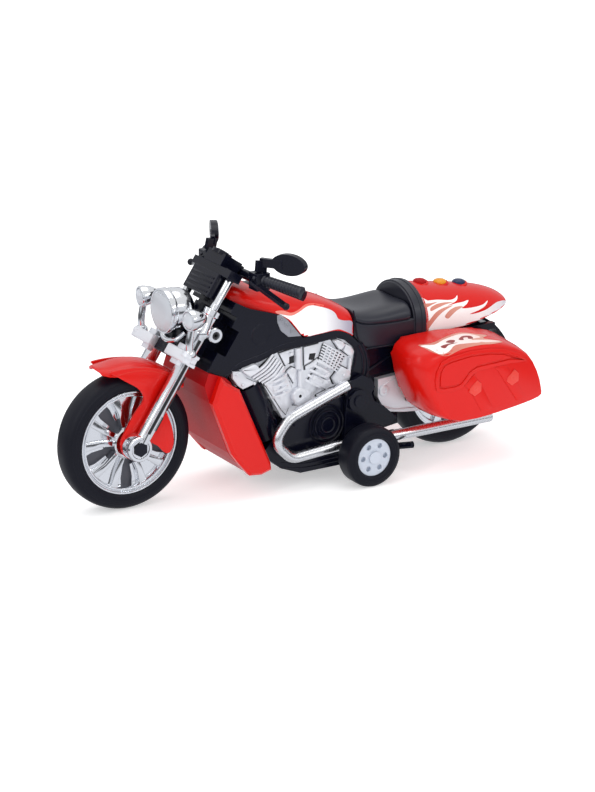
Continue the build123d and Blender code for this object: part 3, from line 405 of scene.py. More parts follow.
# ---------------------------------------------------------------- front fender and its stays
# One red ABS moulding: a rounded crown over the tyre that runs down each side into a stay,
# which curls round the axle and is held by the axle nuts.
CROWN_RADIUS = 43.7
FENDER_SIDE = [
    (115.6, 78.6), (110.2, 75.0), (104.8, 71.3), (100.2, 68.3), (97.2, 65.2), (95.8, 62.0), (96.6, 59.4),
    (100.2, 55.4), (103.7, 50.6), (106.6, 45.6), (109.2, 41.0), (109.5, 36.8), (107.2, 31.6),
    (102.3, 29.2), (97.4, 31.2), (95.0, 34.5), (94.3, 38.8), (93.8, 45.0), (88.4, 53.6), (81.0, 63.2),
    (75.4, 69.6), (81.2, 73.6), (90.0, 77.2), (100.0, 79.0), (109.0, 79.4),
]
REAR_LOBE = [
    (94.2, 40.5), (88.8, 44.6), (83.4, 52.2), (80.4, 47.4), (78.2, 40.0), (78.0, 33.0), (80.4, 28.8),
    (83.6, 29.6), (87.0, 33.4), (91.0, 36.2),
]


def curve_point(a, b, c, d, t):
    """A point on the Catmull-Rom curve from b to c, at t from 0 to 1."""
    return 0.5 * (2 * b + (c - a) * t + (2 * a - 5 * b + 4 * c - d) * t * t + (3 * b - a - 3 * c + d) * t**3)


def smooth_loop(points, per=4):
    """A closed loop of points rounded by a Catmull-Rom curve, with per points to each side."""
    count = len(points)
    loop = []
    for i in range(count):
        a, b, c, d = (Vector(points[(i + k) % count]) for k in (-1, 0, 1, 2))
        for step in range(per):
            loop.append(curve_point(a, b, c, d, step / per))
    return [tuple(p) for p in loop]


def grid_shell(bm, columns):
    """Joins open lines of points, each as long as the next, into one sheet of quads."""
    lines = []
    for column in columns:
        verts = [bm.verts.new(point) for point in column]
        lines.append([bm.edges.new(pair) for pair in zip(verts, verts[1:])])
    for near, far in zip(lines, lines[1:]):
        bmesh.ops.bridge_loops(bm, edges=near + far)


crown = bmesh.new()
columns = []
for step in range(18):
    degrees = 68.0 + 4.1 * step
    tip = min(1.0, 0.42 + (degrees - 68.0) / 14.0)
    half = 11.3 * math.sin(tip * math.pi / 2)
    flare = 2.4 * max(0.0, (80.0 - degrees) / 12.0) ** 2
    column = []
    for across_step in range(13):
        share = across_step / 6 - 1
        radius = CROWN_RADIUS + flare - 3.4 * abs(share) ** 3.2
        px, pz = polar(radius, degrees)
        column.append((WHEEL_X + px, half * share, AXLE_Z + pz))
    columns.append(column)
grid_shell(crown, columns)
bmesh.ops.recalc_face_normals(crown, faces=crown.faces)
bmesh.ops.solidify(crown, geom=list(crown.faces), thickness=1.3)
for side in (1, -1):
    plate(crown, smooth_loop(FENDER_SIDE, 3), side * 9.7, side * 11.2, edge=0.4)
    plate(crown, smooth_loop(REAR_LOBE, 3), side * 9.0, side * 10.4, edge=0.4)
piece("front_fender_red", crown, [red_abs], "fork", ["front_fender"], smooth=40)


# ---------------------------------------------------------------- fork, clamps and axle ends
# Plated ABS legs with a groove down the outer face, drawn dark with painted shade, a round lug
# with a sunk screw, a capped slider top and a ribbed lower clamp. The upper tubes plug into the console
# plate.
RAKE = math.radians(33.8)
UP_FORK = Vector((-math.sin(RAKE), 0, math.cos(RAKE)))
AHEAD = Vector((math.cos(RAKE), 0, math.sin(RAKE)))
AXLE = Vector((WHEEL_X, 0, AXLE_Z))
Y_AXIS = Vector((0, 1, 0))


def fork_point(along, ahead, y):
    return AXLE + UP_FORK * along + AHEAD * ahead + Y_AXIS * y


def lathe(bm, profile, centre, axis, steps=40):
    """Spins a (distance along axis, radius) line a full turn about the axis; it may be open."""
    axis = Vector(axis).normalized()
    out = axis.orthogonal().normalized()
    verts = [bm.verts.new(Vector(centre) + axis * along + out * radius) for along, radius in profile]
    edges = [bm.edges.new(pair) for pair in zip(verts, verts[1:])]
    bmesh.ops.spin(
        bm, geom=verts + edges, cent=centre, axis=axis, angle=math.tau, steps=steps, use_merge=True
    )


def block(bm, corner_low, corner_high, matrix=None, edge=0.3):
    """A box with bevelled edges between two corners, turned by a matrix if one is given."""
    low, high = Vector(corner_low), Vector(corner_high)
    size = high - low
    place = Matrix.Translation((low + high) / 2) @ Matrix.Diagonal((*size, 1))
    made = bmesh.ops.create_cube(bm, size=1, matrix=(matrix or Matrix()) @ place)["verts"]
    edges = {e for v in made for e in v.link_edges}
    if edge:
        bmesh.ops.bevel(
            bm, geom=list(edges), offset=edge, affect="EDGES", segments=2, profile=0.5, material=-1
        )


def tube(bm, path, radius, sides=16, steps=6):
    """A round bar along a smooth line through the points, closed at both ends."""
    points = [Vector(p) for p in path]
    if len(points) > 2:
        padded = [2 * points[0] - points[1]] + points + [2 * points[-1] - points[-2]]
        line = []
        for a, b, c, d in zip(padded, padded[1:], padded[2:], padded[3:]):
            for step in range(steps):
                line.append(curve_point(a, b, c, d, step / steps))
        points = line + [points[-1]]
    rings = []
    for i, point in enumerate(points):
        heading = points[min(i + 1, len(points) - 1)] - points[max(i - 1, 0)]
        turn = heading.to_track_quat("Z", "Y").to_matrix().to_4x4()
        ring = bmesh.ops.create_circle(
            bm, segments=sides, radius=radius, matrix=Matrix.Translation(point) @ turn
        )["verts"]
        rings.append(ring)
    loops = [list({e for v in ring for e in v.link_edges}) for ring in rings]
    bm.faces.new(rings[0])
    bm.faces.new(rings[-1])
    for near, far in zip(loops, loops[1:]):
        bmesh.ops.bridge_loops(bm, edges=near + far)


# near-black painted shade, matt, laid in each groove and gap of the plated parts
painted_gap_shade = plastic("black_painted_gap_shade", "17181d", 0.55, bump=0.02)
# turned so that local x is ahead of the leg, local y is left and local z runs up the fork
FORK_TURN = Matrix.Translation(AXLE) @ Matrix(
    ((AHEAD.x, 0, UP_FORK.x, 0), (0, 1, 0, 0), (AHEAD.z, 0, UP_FORK.z, 0), (0, 0, 0, 1))
)

LEG_Y = 15.5
legs = bmesh.new()
# this mesh holds near-black painted shade: a strip down each leg's groove, four notches beside it and a ring
# on the lug round its screw
fork_groove_shade = bmesh.new()
for side in (1, -1):
    y = LEG_Y * side
    lathe(
        legs,
        [(0, 0), (0, 3.9), (66, 3.9), (66.6, 4.35), (69.0, 4.35), (69.6, 3.9), (77.5, 3.9), (78.2, 4.5),
         (81.2, 4.5), (81.8, 3.6), (81.8, 0)],
        fork_point(0, 0, y), UP_FORK,
    )
    lathe(
        legs,
        [(-4.2, 0), (-4.2, 6.4), (-3.6, 7.1), (2.6, 7.1), (3.4, 6.5), (3.4, 5.2), (3.0, 4.9), (3.0, 0)],
        fork_point(0, 0, y), Y_AXIS * side, steps=56,
    )
    lathe(
        legs,
        [(-3.6, 0), (-3.6, 4.0), (3.0, 4.2), (3.6, 3.7), (3.6, 2.2), (3.0, 2.0), (3.0, 0)],
        fork_point(70.3, -6.9, y), Y_AXIS * side,
    )
    lathe(fork_groove_shade, [(3.0, 0), (3.0, 1.95), (3.25, 1.7), (3.25, 0.8), (2.9, 0.7), (2.9, 0)],
          fork_point(70.3, -6.9, y), Y_AXIS * side, steps=24)
    block(legs, (-8, y - 1.6, 67.5), (-2, y + 1.6, 73.5), FORK_TURN)
    y_face = y + 3.5 * side
    block(fork_groove_shade, (-0.2, min(y_face, y_face + 0.6 * side), 9), (1.5, max(y_face, y_face + 0.6 * side), 64),
          FORK_TURN, edge=0.15)
    block(legs, (1.9, min(y_face, y_face + 0.75 * side), 8), (2.5, max(y_face, y_face + 0.75 * side), 65),
          FORK_TURN, edge=0.12)
    for notch in (12, 24, 36, 48):
        block(fork_groove_shade, (-2.6, min(y_face, y_face + 0.35 * side), notch),
              (-1.9, max(y_face, y_face + 0.35 * side), notch + 8), FORK_TURN, edge=0.1)
piece("fork_legs_plated", legs, [chrome], "fork",
      ["fork_leg_left", "fork_leg_right"], smooth=40)
upper_tubes = bmesh.new()
for side in (1, -1):
    lathe(upper_tubes, [(72.0, 0), (72.0, 2.35), (101.2, 2.35), (101.5, 2.1), (101.5, 0)],
        fork_point(0, 0, LEG_Y * side), UP_FORK, 36)
piece("fork_tubes_plated", upper_tubes, [chrome], "fork", ["fork_tubes"], smooth=40)
piece("fork_painted_groove_shade", fork_groove_shade, [painted_gap_shade], "fork", smooth=40)

nuts = bmesh.new()
for side in (1, -1):
    hexagon = bmesh.ops.create_circle(
        nuts, cap_ends=True, segments=6, radius=4.0,
        matrix=Matrix.Translation((WHEEL_X, side * 18.9, AXLE_Z)) @ Matrix.Rotation(math.pi / 2, 4, "X"),
    )["verts"]
    pushed_out(nuts, hexagon[0].link_faces[0], (0, side * 0.75, 0))
piece("axle_nut_caps", nuts, [black_abs], "fork", ["axle_nuts"], bevel=0.25)

clamp = bmesh.new()
for side in (1, -1):
    for low, high in (((-3.9, 9.5, 49.6), (4.6, 20.4, 51.5)), ((-3.6, 10.5, 51.4), (4.3, 20.0, 54.5)),
                      ((-3.9, 9.5, 54.4), (4.6, 20.4, 56.3)), ((3.4, 12.0, 47.2), (6.6, 18.6, 58.6))):
        y0, y1 = sorted((side * low[1], side * high[1]))
        block(clamp, (low[0], y0, low[2]), (high[0], y1, high[2]), FORK_TURN, edge=0.35)
    block(clamp, (4.9, min(side * 8, side * 27.6), 49.8), (10.0, max(side * 8, side * 27.6), 55.8),
        FORK_TURN, 0.8)
    lathe(clamp, [(0, 0), (0, 3.2), (1.6, 3.4), (2.4, 2.6), (2.4, 0)], fork_point(52.8, 7.4, side * 25.5),
        UP_FORK * 4)
block(clamp, (-5, -9.5, 50), (4.6, 9.5, 56), FORK_TURN, edge=0.6)
piece("lower_clamp", clamp, [silver], "fork", ["lower_yoke"], smooth=40)

mesh_grille = bmesh.new()
block(mesh_grille, (4.9, -8.0, 49.5), (5.6, 8.0, 57), FORK_TURN, edge=0.1)
for row in range(7):
    block(mesh_grille, (5.4, -7.6, 50.0 + row * 0.95), (6.1, 7.6, 50.4 + row * 0.95), FORK_TURN, edge=0.08)
block(mesh_grille, (-1.0, -11.0, 58), (2.0, 11.0, 71), FORK_TURN, edge=0.5)
piece("horn_grille", mesh_grille, [black_abs], "fork", smooth=40)


# ---------------------------------------------------------------- headlight and turn signals
# A plated bullet lamp with a flared ring and a fluted clear lens, and two plated teardrop
# signals on short stalks. The lamps are moulded in two halves and pressed on their stalks.
LAMP = (0.0, 0.0, 103.5)
X_AXIS = (1, 0, 0)
housing = bmesh.new()
lathe(
    housing,
    [(61.8, 0), (61.8, 3.0), (62.6, 6.4), (64.4, 9.2), (67.4, 10.9), (71.5, 11.4), (75.2, 11.5),
     (75.6, 11.9), (77.0, 12.0), (78.6, 12.0), (79.2, 11.6), (79.2, 11.0), (78.4, 10.7), (77.2, 9.8),
     (74.2, 6.4), (72.8, 3.0), (72.5, 0)],
    LAMP, X_AXIS, steps=72,
)
for side in (1, -1):
    lathe(
        housing,
        [(-8.2, 0), (-7.9, 1.4), (-6.2, 3.3), (-3.4, 4.8), (0.4, 5.6), (2.6, 5.6), (3.4, 5.2), (3.4, 4.6),
         (2.4, 4.3), (2.0, 0)],
        (74.6, side * 25.4, 104.6), (1, side * 0.12, 0), steps=40,
    )
    tube(housing, [(77.0, side * 25.5, 86.5), (77.0, side * 25.5, 93.0), (75.6, side * 25.4, 100.8)], 1.9)
    lathe(housing, [(0, 0), (0, 3.4), (2.2, 3.2), (3.4, 2.2), (3.4, 0)], (77.0, side * 25.5, 85.4), (0, 0, 1))
signal_bar = [(70, 8.5, 92.2), (74.5, 6.8, 88.8), (76.2, 0, 87.4), (74.5, -6.8, 88.8), (70, -8.5, 92.2)]
tube(housing, signal_bar, 1.5)
piece(
    "headlight_shell", housing, [chrome], "fork",
    ["headlight_housing", "turn_signal_left", "turn_signal_right"], smooth=42,
)

lens_profile = [(78.0, 10.9), (79.0, 10.9), (80.4, 9.4), (81.2, 7.0), (81.6, 4.0), (81.75, 0)]
lenses = bmesh.new()
lathe(lenses, [(78.0, 0)] + lens_profile, LAMP, X_AXIS, steps=64)
for flute in range(9):
    offset = -8.8 + flute * 2.2
    reach = math.sqrt(max(0.0, 10.2**2 - offset**2))
    bulge = 81.3 - 0.024 * offset**2
    block(lenses, (bulge - 2.4, offset - 0.55, 103.5 - reach),
        (bulge - 0.6, offset + 0.55, 103.5 + reach), edge=0.3)
for side in (1, -1):
    lathe(
        lenses, [(2.2, 0), (2.2, 4.3), (3.2, 4.3), (4.4, 3.0), (4.9, 1.4), (5.0, 0)],
        (74.6, side * 25.4, 104.6), (1, side * 0.12, 0), steps=32,
    )
# lightly frosted polystyrene: milky, with a clear shine, so the flutes show
lens_frost = plastic("frosted_clear_polystyrene", "dfe3ea", 0.14, tint=0.96)
lens_frost.node_tree.nodes["Principled BSDF"].inputs["Transmission Weight"].default_value = 0.35
piece("lamp_lenses", lenses, [lens_frost], "fork", ["headlight_lens"], smooth=42)


# ---------------------------------------------------------------- engine
# One plated relief per side behind the black frame: a front head with fins, push-rod tubes,
# a rear cylinder with dashed fins and two round caps. Near-black painted shade fills its gaps.
ENGINE_FACE = 19.0
ENGINE_BLOCKS = [  # outline, height above the face
    ([(48.5, 71.2), (43.6, 70.4), (39.9, 66.0), (33.6, 62.5), (37.3, 61.7), (42.2, 60.4), (45.6, 63.0),
      (48.6, 67.4)], 2.2),
    ([(14.8, 76.9), (10.4, 77.4), (10.3, 70.6), (13.3, 69.9), (15.5, 68.9), (19.3, 76.2)], 1.2),
    ([(28.0, 60.0), (17.4, 66.6), (14.9, 61.5), (19.6, 53.4)], 1.4),
    ([(16.2, 65.4), (12.2, 56.2), (14.6, 53.2), (18.4, 53.6), (19.2, 60.8)], 2.4),
    ([(11.6, 67.5), (8.8, 66.0), (10.4, 58.5), (14.8, 65.6)], 1.6),
    ([(3.9, 77.3), (-5.2, 77.8), (-3.6, 72.9), (-0.4, 68.6), (3.6, 67.3)], 1.2),
    ([(-5.7, 65.7), (-12.6, 60.1), (-9.8, 57.3), (-2.4, 62.2)], 2.2),
    ([(-1.5, 61.4), (-12.4, 55.7), (-9.7, 51.6), (1.0, 58.2)], 2.8),
    ([(2.8, 64.6), (-1.4, 65.3), (-4.6, 66.6), (-4.6, 69.6), (0.0, 67.4), (3.0, 66.4)], 1.2),
    ([(-19.3, 63.2), (-23.6, 60.6), (-25.2, 57.2), (-24.2, 54.9), (-20.4, 53.4), (-15.2, 53.8),
      (-13.6, 57.3)], 2.4),
    ([(-13.8, 78.3), (-16.4, 78.6), (-19.6, 77.0), (-21.0, 75.2), (-19.0, 72.8), (-17.4, 73.0)], 3.0),
    ([(-21.6, 75.4), (-24.4, 73.6), (-26.4, 71.2), (-26.0, 69.0), (-24.2, 68.2), (-19.8, 71.8)], 3.0),
    ([(25.4, 60.2), (20.6, 54.2), (13.8, 51.6), (11.8, 47.6), (15.0, 41.6), (17.6, 44.6), (28.4, 61.0)], 1.0),
    ([(10.4, 46.0), (6.0, 44.6), (-2.4, 45.4), (-3.6, 48.6), (2.2, 48.4), (4.4, 47.0)], 1.4),
    ([(-5.0, 46.0), (-19.4, 47.8), (-24.0, 50.6), (-19.0, 52.0), (-11.0, 51.2), (-4.4, 49.2)], 1.2),
]
FRONT_FINS = ((37.6, 66.6), (23.4, 76.2), (28.4, 60.6), (16.6, 68.6))  # ends of the first and last fin
REAR_FINS = ((-8.2, 77.4), (-22.4, 68.2), (-5.3, 69.0), (-17.0, 60.4))
TUBES = [  # top, bottom, radius
    ((7.8, 77.6), (7.6, 66.2), 1.75), ((6.4, 64.8), (6.2, 53.6), 1.25), ((-25.4, 66.5), (-24.6, 58.0), 1.0),
]
WINDOWS = [
    [(13.3, 73.4), (10.4, 73.8), (10.3, 69.8), (13.2, 69.4)],
    [(0.6, 73.2), (-3.2, 73.0), (-2.2, 69.2), (1.2, 70.0)],
]


def between(a, b, share):
    return tuple(p + (q - p) * share for p, q in zip(a, b))


def swollen(outline, margin):
    """The outline scaled about its middle so that it grows by about the margin all round."""
    middle = sum((Vector(p) for p in outline), Vector((0, 0))) / len(outline)
    reach = sum((Vector(p) - middle).length for p in outline) / len(outline)
    return [tuple(middle + (Vector(p) - middle) * (1 + margin / reach)) for p in outline]


SIDES = ((1, "left"), (-1, "right"))
for side, word in SIDES:
    face = side * ENGINE_FACE
    relief = bmesh.new()
    # this mesh holds near-black painted shade: an outline round each block, a plate behind each fin set, the
    # windows and a dark centre in the big round cap
    engine_gap_shade = bmesh.new()
    for outline, height in ENGINE_BLOCKS:
        plate(engine_gap_shade, swollen(outline, 0.55), face, face + side * 0.35)
        plate(relief, outline, face - side * 0.5, face + side * height, edge=0.4)
    for fin_set, count, height, radius in ((FRONT_FINS, 6, 3.2, 0.76), (REAR_FINS, 7, 2.6, 0.5)):
        start_a, start_b, end_a, end_b = fin_set
        for fin in range(count):
            share = fin / (count - 1)
            a = between(start_a, end_a, share)
            b = between(start_b, end_b, share)
            middle = between(a, b, 0.5)
            low = face + side * height * 0.35
            arch = [(a[0], low, a[1]), (middle[0], face + side * height, middle[1]), (b[0], low, b[1])]
            tube(relief, arch, radius, sides=10)
        if fin_set is REAR_FINS:
            for bar in range(1, 6):
                low = between(start_a, start_b, bar / 6)
                high = between(end_a, end_b, bar / 6)
                swell = math.sin(bar / 6 * math.pi) * 0.7 + 0.3
                tube(relief, [(low[0], face + side * height * swell, low[1]),
                              (high[0], face + side * height * swell, high[1])], 0.55, sides=8)
        outline = [start_a, start_b, end_b, end_a]
        plate(engine_gap_shade, outline, face - side * 0.4, face + side * 0.7, edge=0.2)
    dome = [(43.2, 71.4), (39.4, 72.6), (35.2, 73.4), (32.4, 70.8), (35.2, 67.2), (39.2, 67.2)]
    plate(relief, smooth_loop(dome, 3), face - side * 0.4, face + side * 3.0, edge=1.3)
    for top, bottom, radius in TUBES:
        tube(relief, [(top[0], face + side * 1.0, top[1]), (bottom[0], face + side * 1.0, bottom[1])], radius)
    lathe(relief, [(-1, 0), (-1, 4.6), (2.6, 4.5), (3.3, 3.9), (3.3, 2.4), (2.7, 2.2), (2.7, 0)],
          (7.2, face, 51.0), (0, side, 0), steps=40)
    lathe(relief, [(-1, 0), (-1, 2.3), (1.8, 2.2), (2.2, 1.7), (2.2, 0)], (21.4, face, 57.6),
        (0, side, 0), steps=24)
    lathe(engine_gap_shade, [(2.4, 0), (2.4, 2.15), (2.9, 2.0), (2.9, 1.0), (3.1, 0.8), (3.1, 0)],
          (7.2, face, 51.0), (0, side, 0), steps=24)
    for outline in WINDOWS:
        plate(engine_gap_shade, outline, face, face + side * 1.45, edge=0.15)
    for bolt in ((46.2, 69.2), (42.6, 63.0), (35.6, 62.8), (13.0, 75.4), (17.4, 55.0), (-11.0, 56.4),
                 (-1.4, 58.8), (-20.6, 58.0), (-9.0, 59.4), (22.0, 64.4)):
        lathe(relief, [(0, 0), (0, 0.85), (3.0, 0.8), (3.2, 0.5), (3.2, 0)], (bolt[0], face, bolt[1]),
            (0, side, 0), 12)
    piece(f"engine_relief_{word}", relief, [silver], "chassis", smooth=38)
    piece(f"engine_painted_gap_shade_{word}", engine_gap_shade, [painted_gap_shade], "chassis", smooth=38)


# ---------------------------------------------------------------- crankcase and frame trim
# Raised details of the black shells: the round cover with its rings, ridges along the belly,
# the bead round the engine bay, the riveted grey plate and the struts under the seat.
BAY_EDGE = [
    (53.0, 69.0), (43.4, 71.9), (31.2, 74.3), (18.9, 77.9), (6.5, 78.2), (-6, 79.0), (-15.8, 79.6),
    (-21.6, 78.0), (-27.3, 73.0), (-29.0, 69.4), (-28.0, 62.3), (-26.3, 56.9), (-27.6, 50.0),
]
RIVET_PLATE = [
    (21.0, 97.4), (18.6, 97.4), (14.6, 94.1), (9.4, 87.9), (6.0, 83.9), (14.0, 84.6), (18.8, 88.9),
    (20.8, 93.6),
]
SEAT_STRUTS = [
    [(-30.5, 72.5), (-33.2, 66.0), (-33.6, 58.0), (-31.0, 50.5)],
    [(-33.0, 73.5), (-36.0, 66.0), (-36.4, 58.5), (-34.6, 52.0)],
    [(-37.0, 54.6), (-46.0, 58.4), (-57.5, 63.6)],
]
# grey lacquered plate: satin mid grey, pale on its edges, partly wear and partly painted highlight
plate_grey = plastic("grey_satin_lacquer", "9b9da6", 0.34, metal=0.35, edge_wear_and_highlight="d4d6dc")

FRAME_FACE = 19.9
for side, word in SIDES:
    trim = bmesh.new()
    tube(trim, [(x, side * FRAME_FACE, z) for x, z in BAY_EDGE], 0.55, sides=10)
    tube(
        trim,
        [(x, side * FRAME_FACE, z - 3.1) for x, z in BAY_EDGE[:1]]
        + [(46, side * FRAME_FACE, 74.2), (31.5, side * FRAME_FACE, 77.3),
           (19.0, side * FRAME_FACE, 80.6), (9.0, side * FRAME_FACE, 81.4)],
        0.4, sides=8,
    )
    lathe(trim, [(0, 6.2), (0.3, 6.0), (0.35, 5.6), (0.2, 5.2), (0, 5.0)], (31.0, side * 19.8, 88.5),
        (0, side, 0), 48)
    for line in SEAT_STRUTS:
        tube(trim, [(x, side * (FRAME_FACE if x > -37 else 15.4), z) for x, z in line], 0.7, sides=8)
    for ring, height in ((11.2, 1.0), (8.2, 2.0), (4.6, 2.6)):
        lathe(
            trim,
            [(-0.4, ring), (height - 0.4, ring - 0.1), (height, ring - 0.5), (height - 0.5, ring - 1.1),
             (-0.4, ring - 1.2)],
            (-10, side * 21, 32), (0, side, 0), 48,
        )
    for ridge in range(5):
        z = 9.6 + ridge * 2.3
        tube(trim, [(19.0 - ridge * 1.0, side * 20.8, z + 3.0), (4, side * 20.9, z),
            (-24, side * 20.9, z + 0.3)], 0.5, sides=8)
    for bolt in ((12, 35.4), (-26, 43.0), (-36, 40.0), (-37, 28.0), (20, 26.5), (-28, 22.0)):
        lathe(trim, [(-0.4, 1.7), (0.7, 1.6), (1.0, 1.2), (1.0, 0)], (bolt[0], side * 21, bolt[1]),
            (0, side, 0), 16)
    piece(f"frame_trim_{word}", trim, [black_abs], "chassis", smooth=40)
    rivets = bmesh.new()
    plate(rivets, RIVET_PLATE, side * FRAME_FACE, side * 20.5, edge=0.2)
    for x, z in ((15.2, 92.0), (11.6, 87.6), (18.8, 95.3)):
        lathe(rivets, [(0, 1.45), (0.5, 1.4), (0.7, 1.1), (0.35, 0.8), (0.9, 0.5), (1.0, 0)],
            (x, side * 20.5, z), (0, side, 0), 20)
    piece(f"riveted_plate_{word}", rivets, [plate_grey], "chassis", smooth=38)


# ---------------------------------------------------------------- fuel tank
# Red ABS half-shell clipped over the frame. Its side carries a white printed panel that fades
# to pale lavender at the back, put on before assembly and lacquered over.
TANK_STATIONS = [  # x, half width, lower edge, shoulder, top
    (46.0, 11.0, 104.0, 106.5, 111.4), (45.0, 12.0, 103.5, 106.6, 112.4),
    (40.0, 15.2, 102.6, 106.6, 113.0), (32.0, 17.6, 101.0, 104.9, 111.9),
    (25.0, 19.1, 99.3, 102.6, 110.4), (19.0, 19.7, 97.4, 100.6, 108.8), (13.0, 20.2, 93.2, 98.4, 107.2),
    (9.0, 20.5, 88.0, 97.3, 106.1), (4.7, 20.6, 82.6, 96.0, 104.8), (-2.0, 20.6, 83.0, 94.4, 103.0),
    (-9.0, 20.5, 83.3, 92.3, 101.0), (-16.7, 20.3, 83.7, 89.7, 98.4), (-22.5, 19.9, 81.4, 87.6, 95.4),
    (-27.6, 19.3, 78.0, 85.6, 92.6), (-28.4, 19.0, 77.6, 85.2, 92.0),
]


def both_sides(rows, x):
    """A closed ring of points at x from (half width, z) rows that climb from the edge to the middle."""
    ring = [(x, y, z) for y, z in rows]
    return ring + [(x, -y, z) for y, z in reversed(rows) if y > 0.01]


def loft(bm, rings):
    """Joins closed rings of points, each as long as the next, and closes both ends."""
    loops = []
    for ring in rings:
        verts = [bm.verts.new(point) for point in ring]
        loops.append([bm.edges.new(pair) for pair in zip(verts, verts[1:] + verts[:1])])
    bmesh.ops.contextual_create(bm, geom=loops[0])
    bmesh.ops.contextual_create(bm, geom=loops[-1])
    for near, far in zip(loops, loops[1:]):
        bmesh.ops.bridge_loops(bm, edges=near + far)


tank = bmesh.new()
rings = []
for x, half, low, shoulder, top in TANK_STATIONS:
    rise = top - shoulder
    rings.append(both_sides([
        (half - 1.4, low - 0.1), (half, low), (half, low + 0.5), (half, (low + shoulder) / 2),
        (half * 0.99, shoulder), (half * 0.9, shoulder + rise * 0.52), (half * 0.68, shoulder + rise * 0.86),
        (half * 0.34, top - rise * 0.02), (0, top + rise * 0.02),
    ], x))
loft(tank, rings)
tank_shell = piece("fuel_tank_shell", tank, [red_abs], "chassis", ["fuel_tank"], smooth=60,
    subdivide=2)

cap = bmesh.new()
lathe(cap, [(-2, 0), (-2, 5.2), (0.4, 5.2), (0.9, 4.8), (1.0, 4.2), (1.6, 3.9), (1.9, 3.3), (1.9, 0)],
      (26, 0, 109.6), (0.17, 0, 1), steps=48)
for knurl in range(24):
    px, py = polar(4.55, knurl * 15)
    block(cap, (26 + px - 0.25, py - 0.25, 108.8), (26 + px + 0.25, py + 0.25, 110.9), edge=0.1)
piece("fuel_cap", cap, [black_abs], "chassis", smooth=40)


# ---------------------------------------------------------------- seat and backrest
# Satin black ABS shaped as a stitched saddle: a padded-looking top over a flat skirt, with a
# plain hoop behind it. Both are hard mouldings, so nothing here is soft.
SEAT_STATIONS = [  # x, half width, crease, top, lower edge
    (-28.7, 18.6, 86.4, 91.6, 77.6), (-29.6, 19.0, 86.0, 91.4, 76.4), (-33.0, 19.3, 84.4, 90.2, 72.6),
    (-38.0, 19.6, 83.3, 89.3, 70.0), (-44.0, 19.9, 82.8, 89.2, 70.0), (-50.0, 20.1, 82.5, 89.6, 70.0),
    (-57.0, 20.2, 82.4, 90.3, 70.0), (-63.0, 20.3, 82.5, 90.8, 70.0), (-66.6, 20.3, 82.7, 90.9, 70.0),
]
pad = bmesh.new()
skirt = bmesh.new()
pad_rings = []
skirt_rings = []
for x, half, crease, top, low in SEAT_STATIONS:
    rise = top - crease
    pad_rings.append(both_sides([
        (half - 1.6, crease - 0.4), (half - 0.2, crease + 0.1), (half + 0.3, crease + 1.2),
        (half - 0.4, crease + rise * 0.55), (half - 3.2, crease + rise * 0.9),
        (half * 0.6, top + 0.2), (half * 0.3, top - 0.2), (0, top - 0.4),
    ], x))
    skirt_rings.append(both_sides([
        (half - 0.2, low), (half, low + 0.5), (half - 0.2, crease - 0.8), (half - 1.0, crease), (0, crease),
    ], x))
loft(pad, pad_rings)
loft(skirt, skirt_rings)
piece("seat_pad", pad, [satin_black], "chassis", ["seat"], smooth=60, subdivide=2)
piece("seat_skirt", skirt, [satin_black], "chassis", smooth=32)

seat_bead = bmesh.new()
for side in (1, -1):
    tube(seat_bead, [(-35.6, side * 19.9, 70.0), (-50, side * 20.3, 69.8), (-66.8, side * 20.6, 69.8)],
        0.55, sides=8)
    tube(
        seat_bead,
        [(-27.9, side * 18.6, 92.4), (-28.6, side * 19.7, 85.0), (-30.6, side * 19.9, 76.0),
         (-35.6, side * 20.0, 70.2)],
        0.4, sides=8,
    )
piece("seat_bead", seat_bead, [black_abs], "chassis", smooth=60)

hoop = bmesh.new()
half_turn = [math.pi * k / 24 for k in range(25)]
arch = [(21.4, 70.0)] + [(21.4 * math.cos(a), 80.0 + 18.8 * math.sin(a)) for a in half_turn] + [(-21.4, 70.0)]
hoop_front = hoop.faces.new([hoop.verts.new((-67.0, y, z)) for y, z in arch])
pushed_out(hoop, hoop_front, (-6.8, 0, 0))
bmesh.ops.inset_region(hoop, faces=[hoop_front], thickness=0.9, depth=0.0)
bmesh.ops.inset_region(hoop, faces=[hoop_front], thickness=0.5, depth=-0.7)
bmesh.ops.inset_region(hoop, faces=[hoop_front], thickness=3.0, depth=0.0)
piece("backrest_hoop", hoop, [satin_black], "chassis", ["backrest"], smooth=30, bevel=0.35)
ribs = bmesh.new()
half_turn = [math.pi * k / 16 for k in range(17)]
rib_line = [(-71.2, 21.45 * math.cos(a), 80.0 + 18.85 * math.sin(a)) for a in half_turn]
tube(ribs, [(-71.2, 21.45, 70.6)] + rib_line + [(-71.2, -21.45, 70.6)], 0.3, sides=8, steps=3)
piece("backrest_rib", ribs, [satin_black], "chassis", smooth=60)


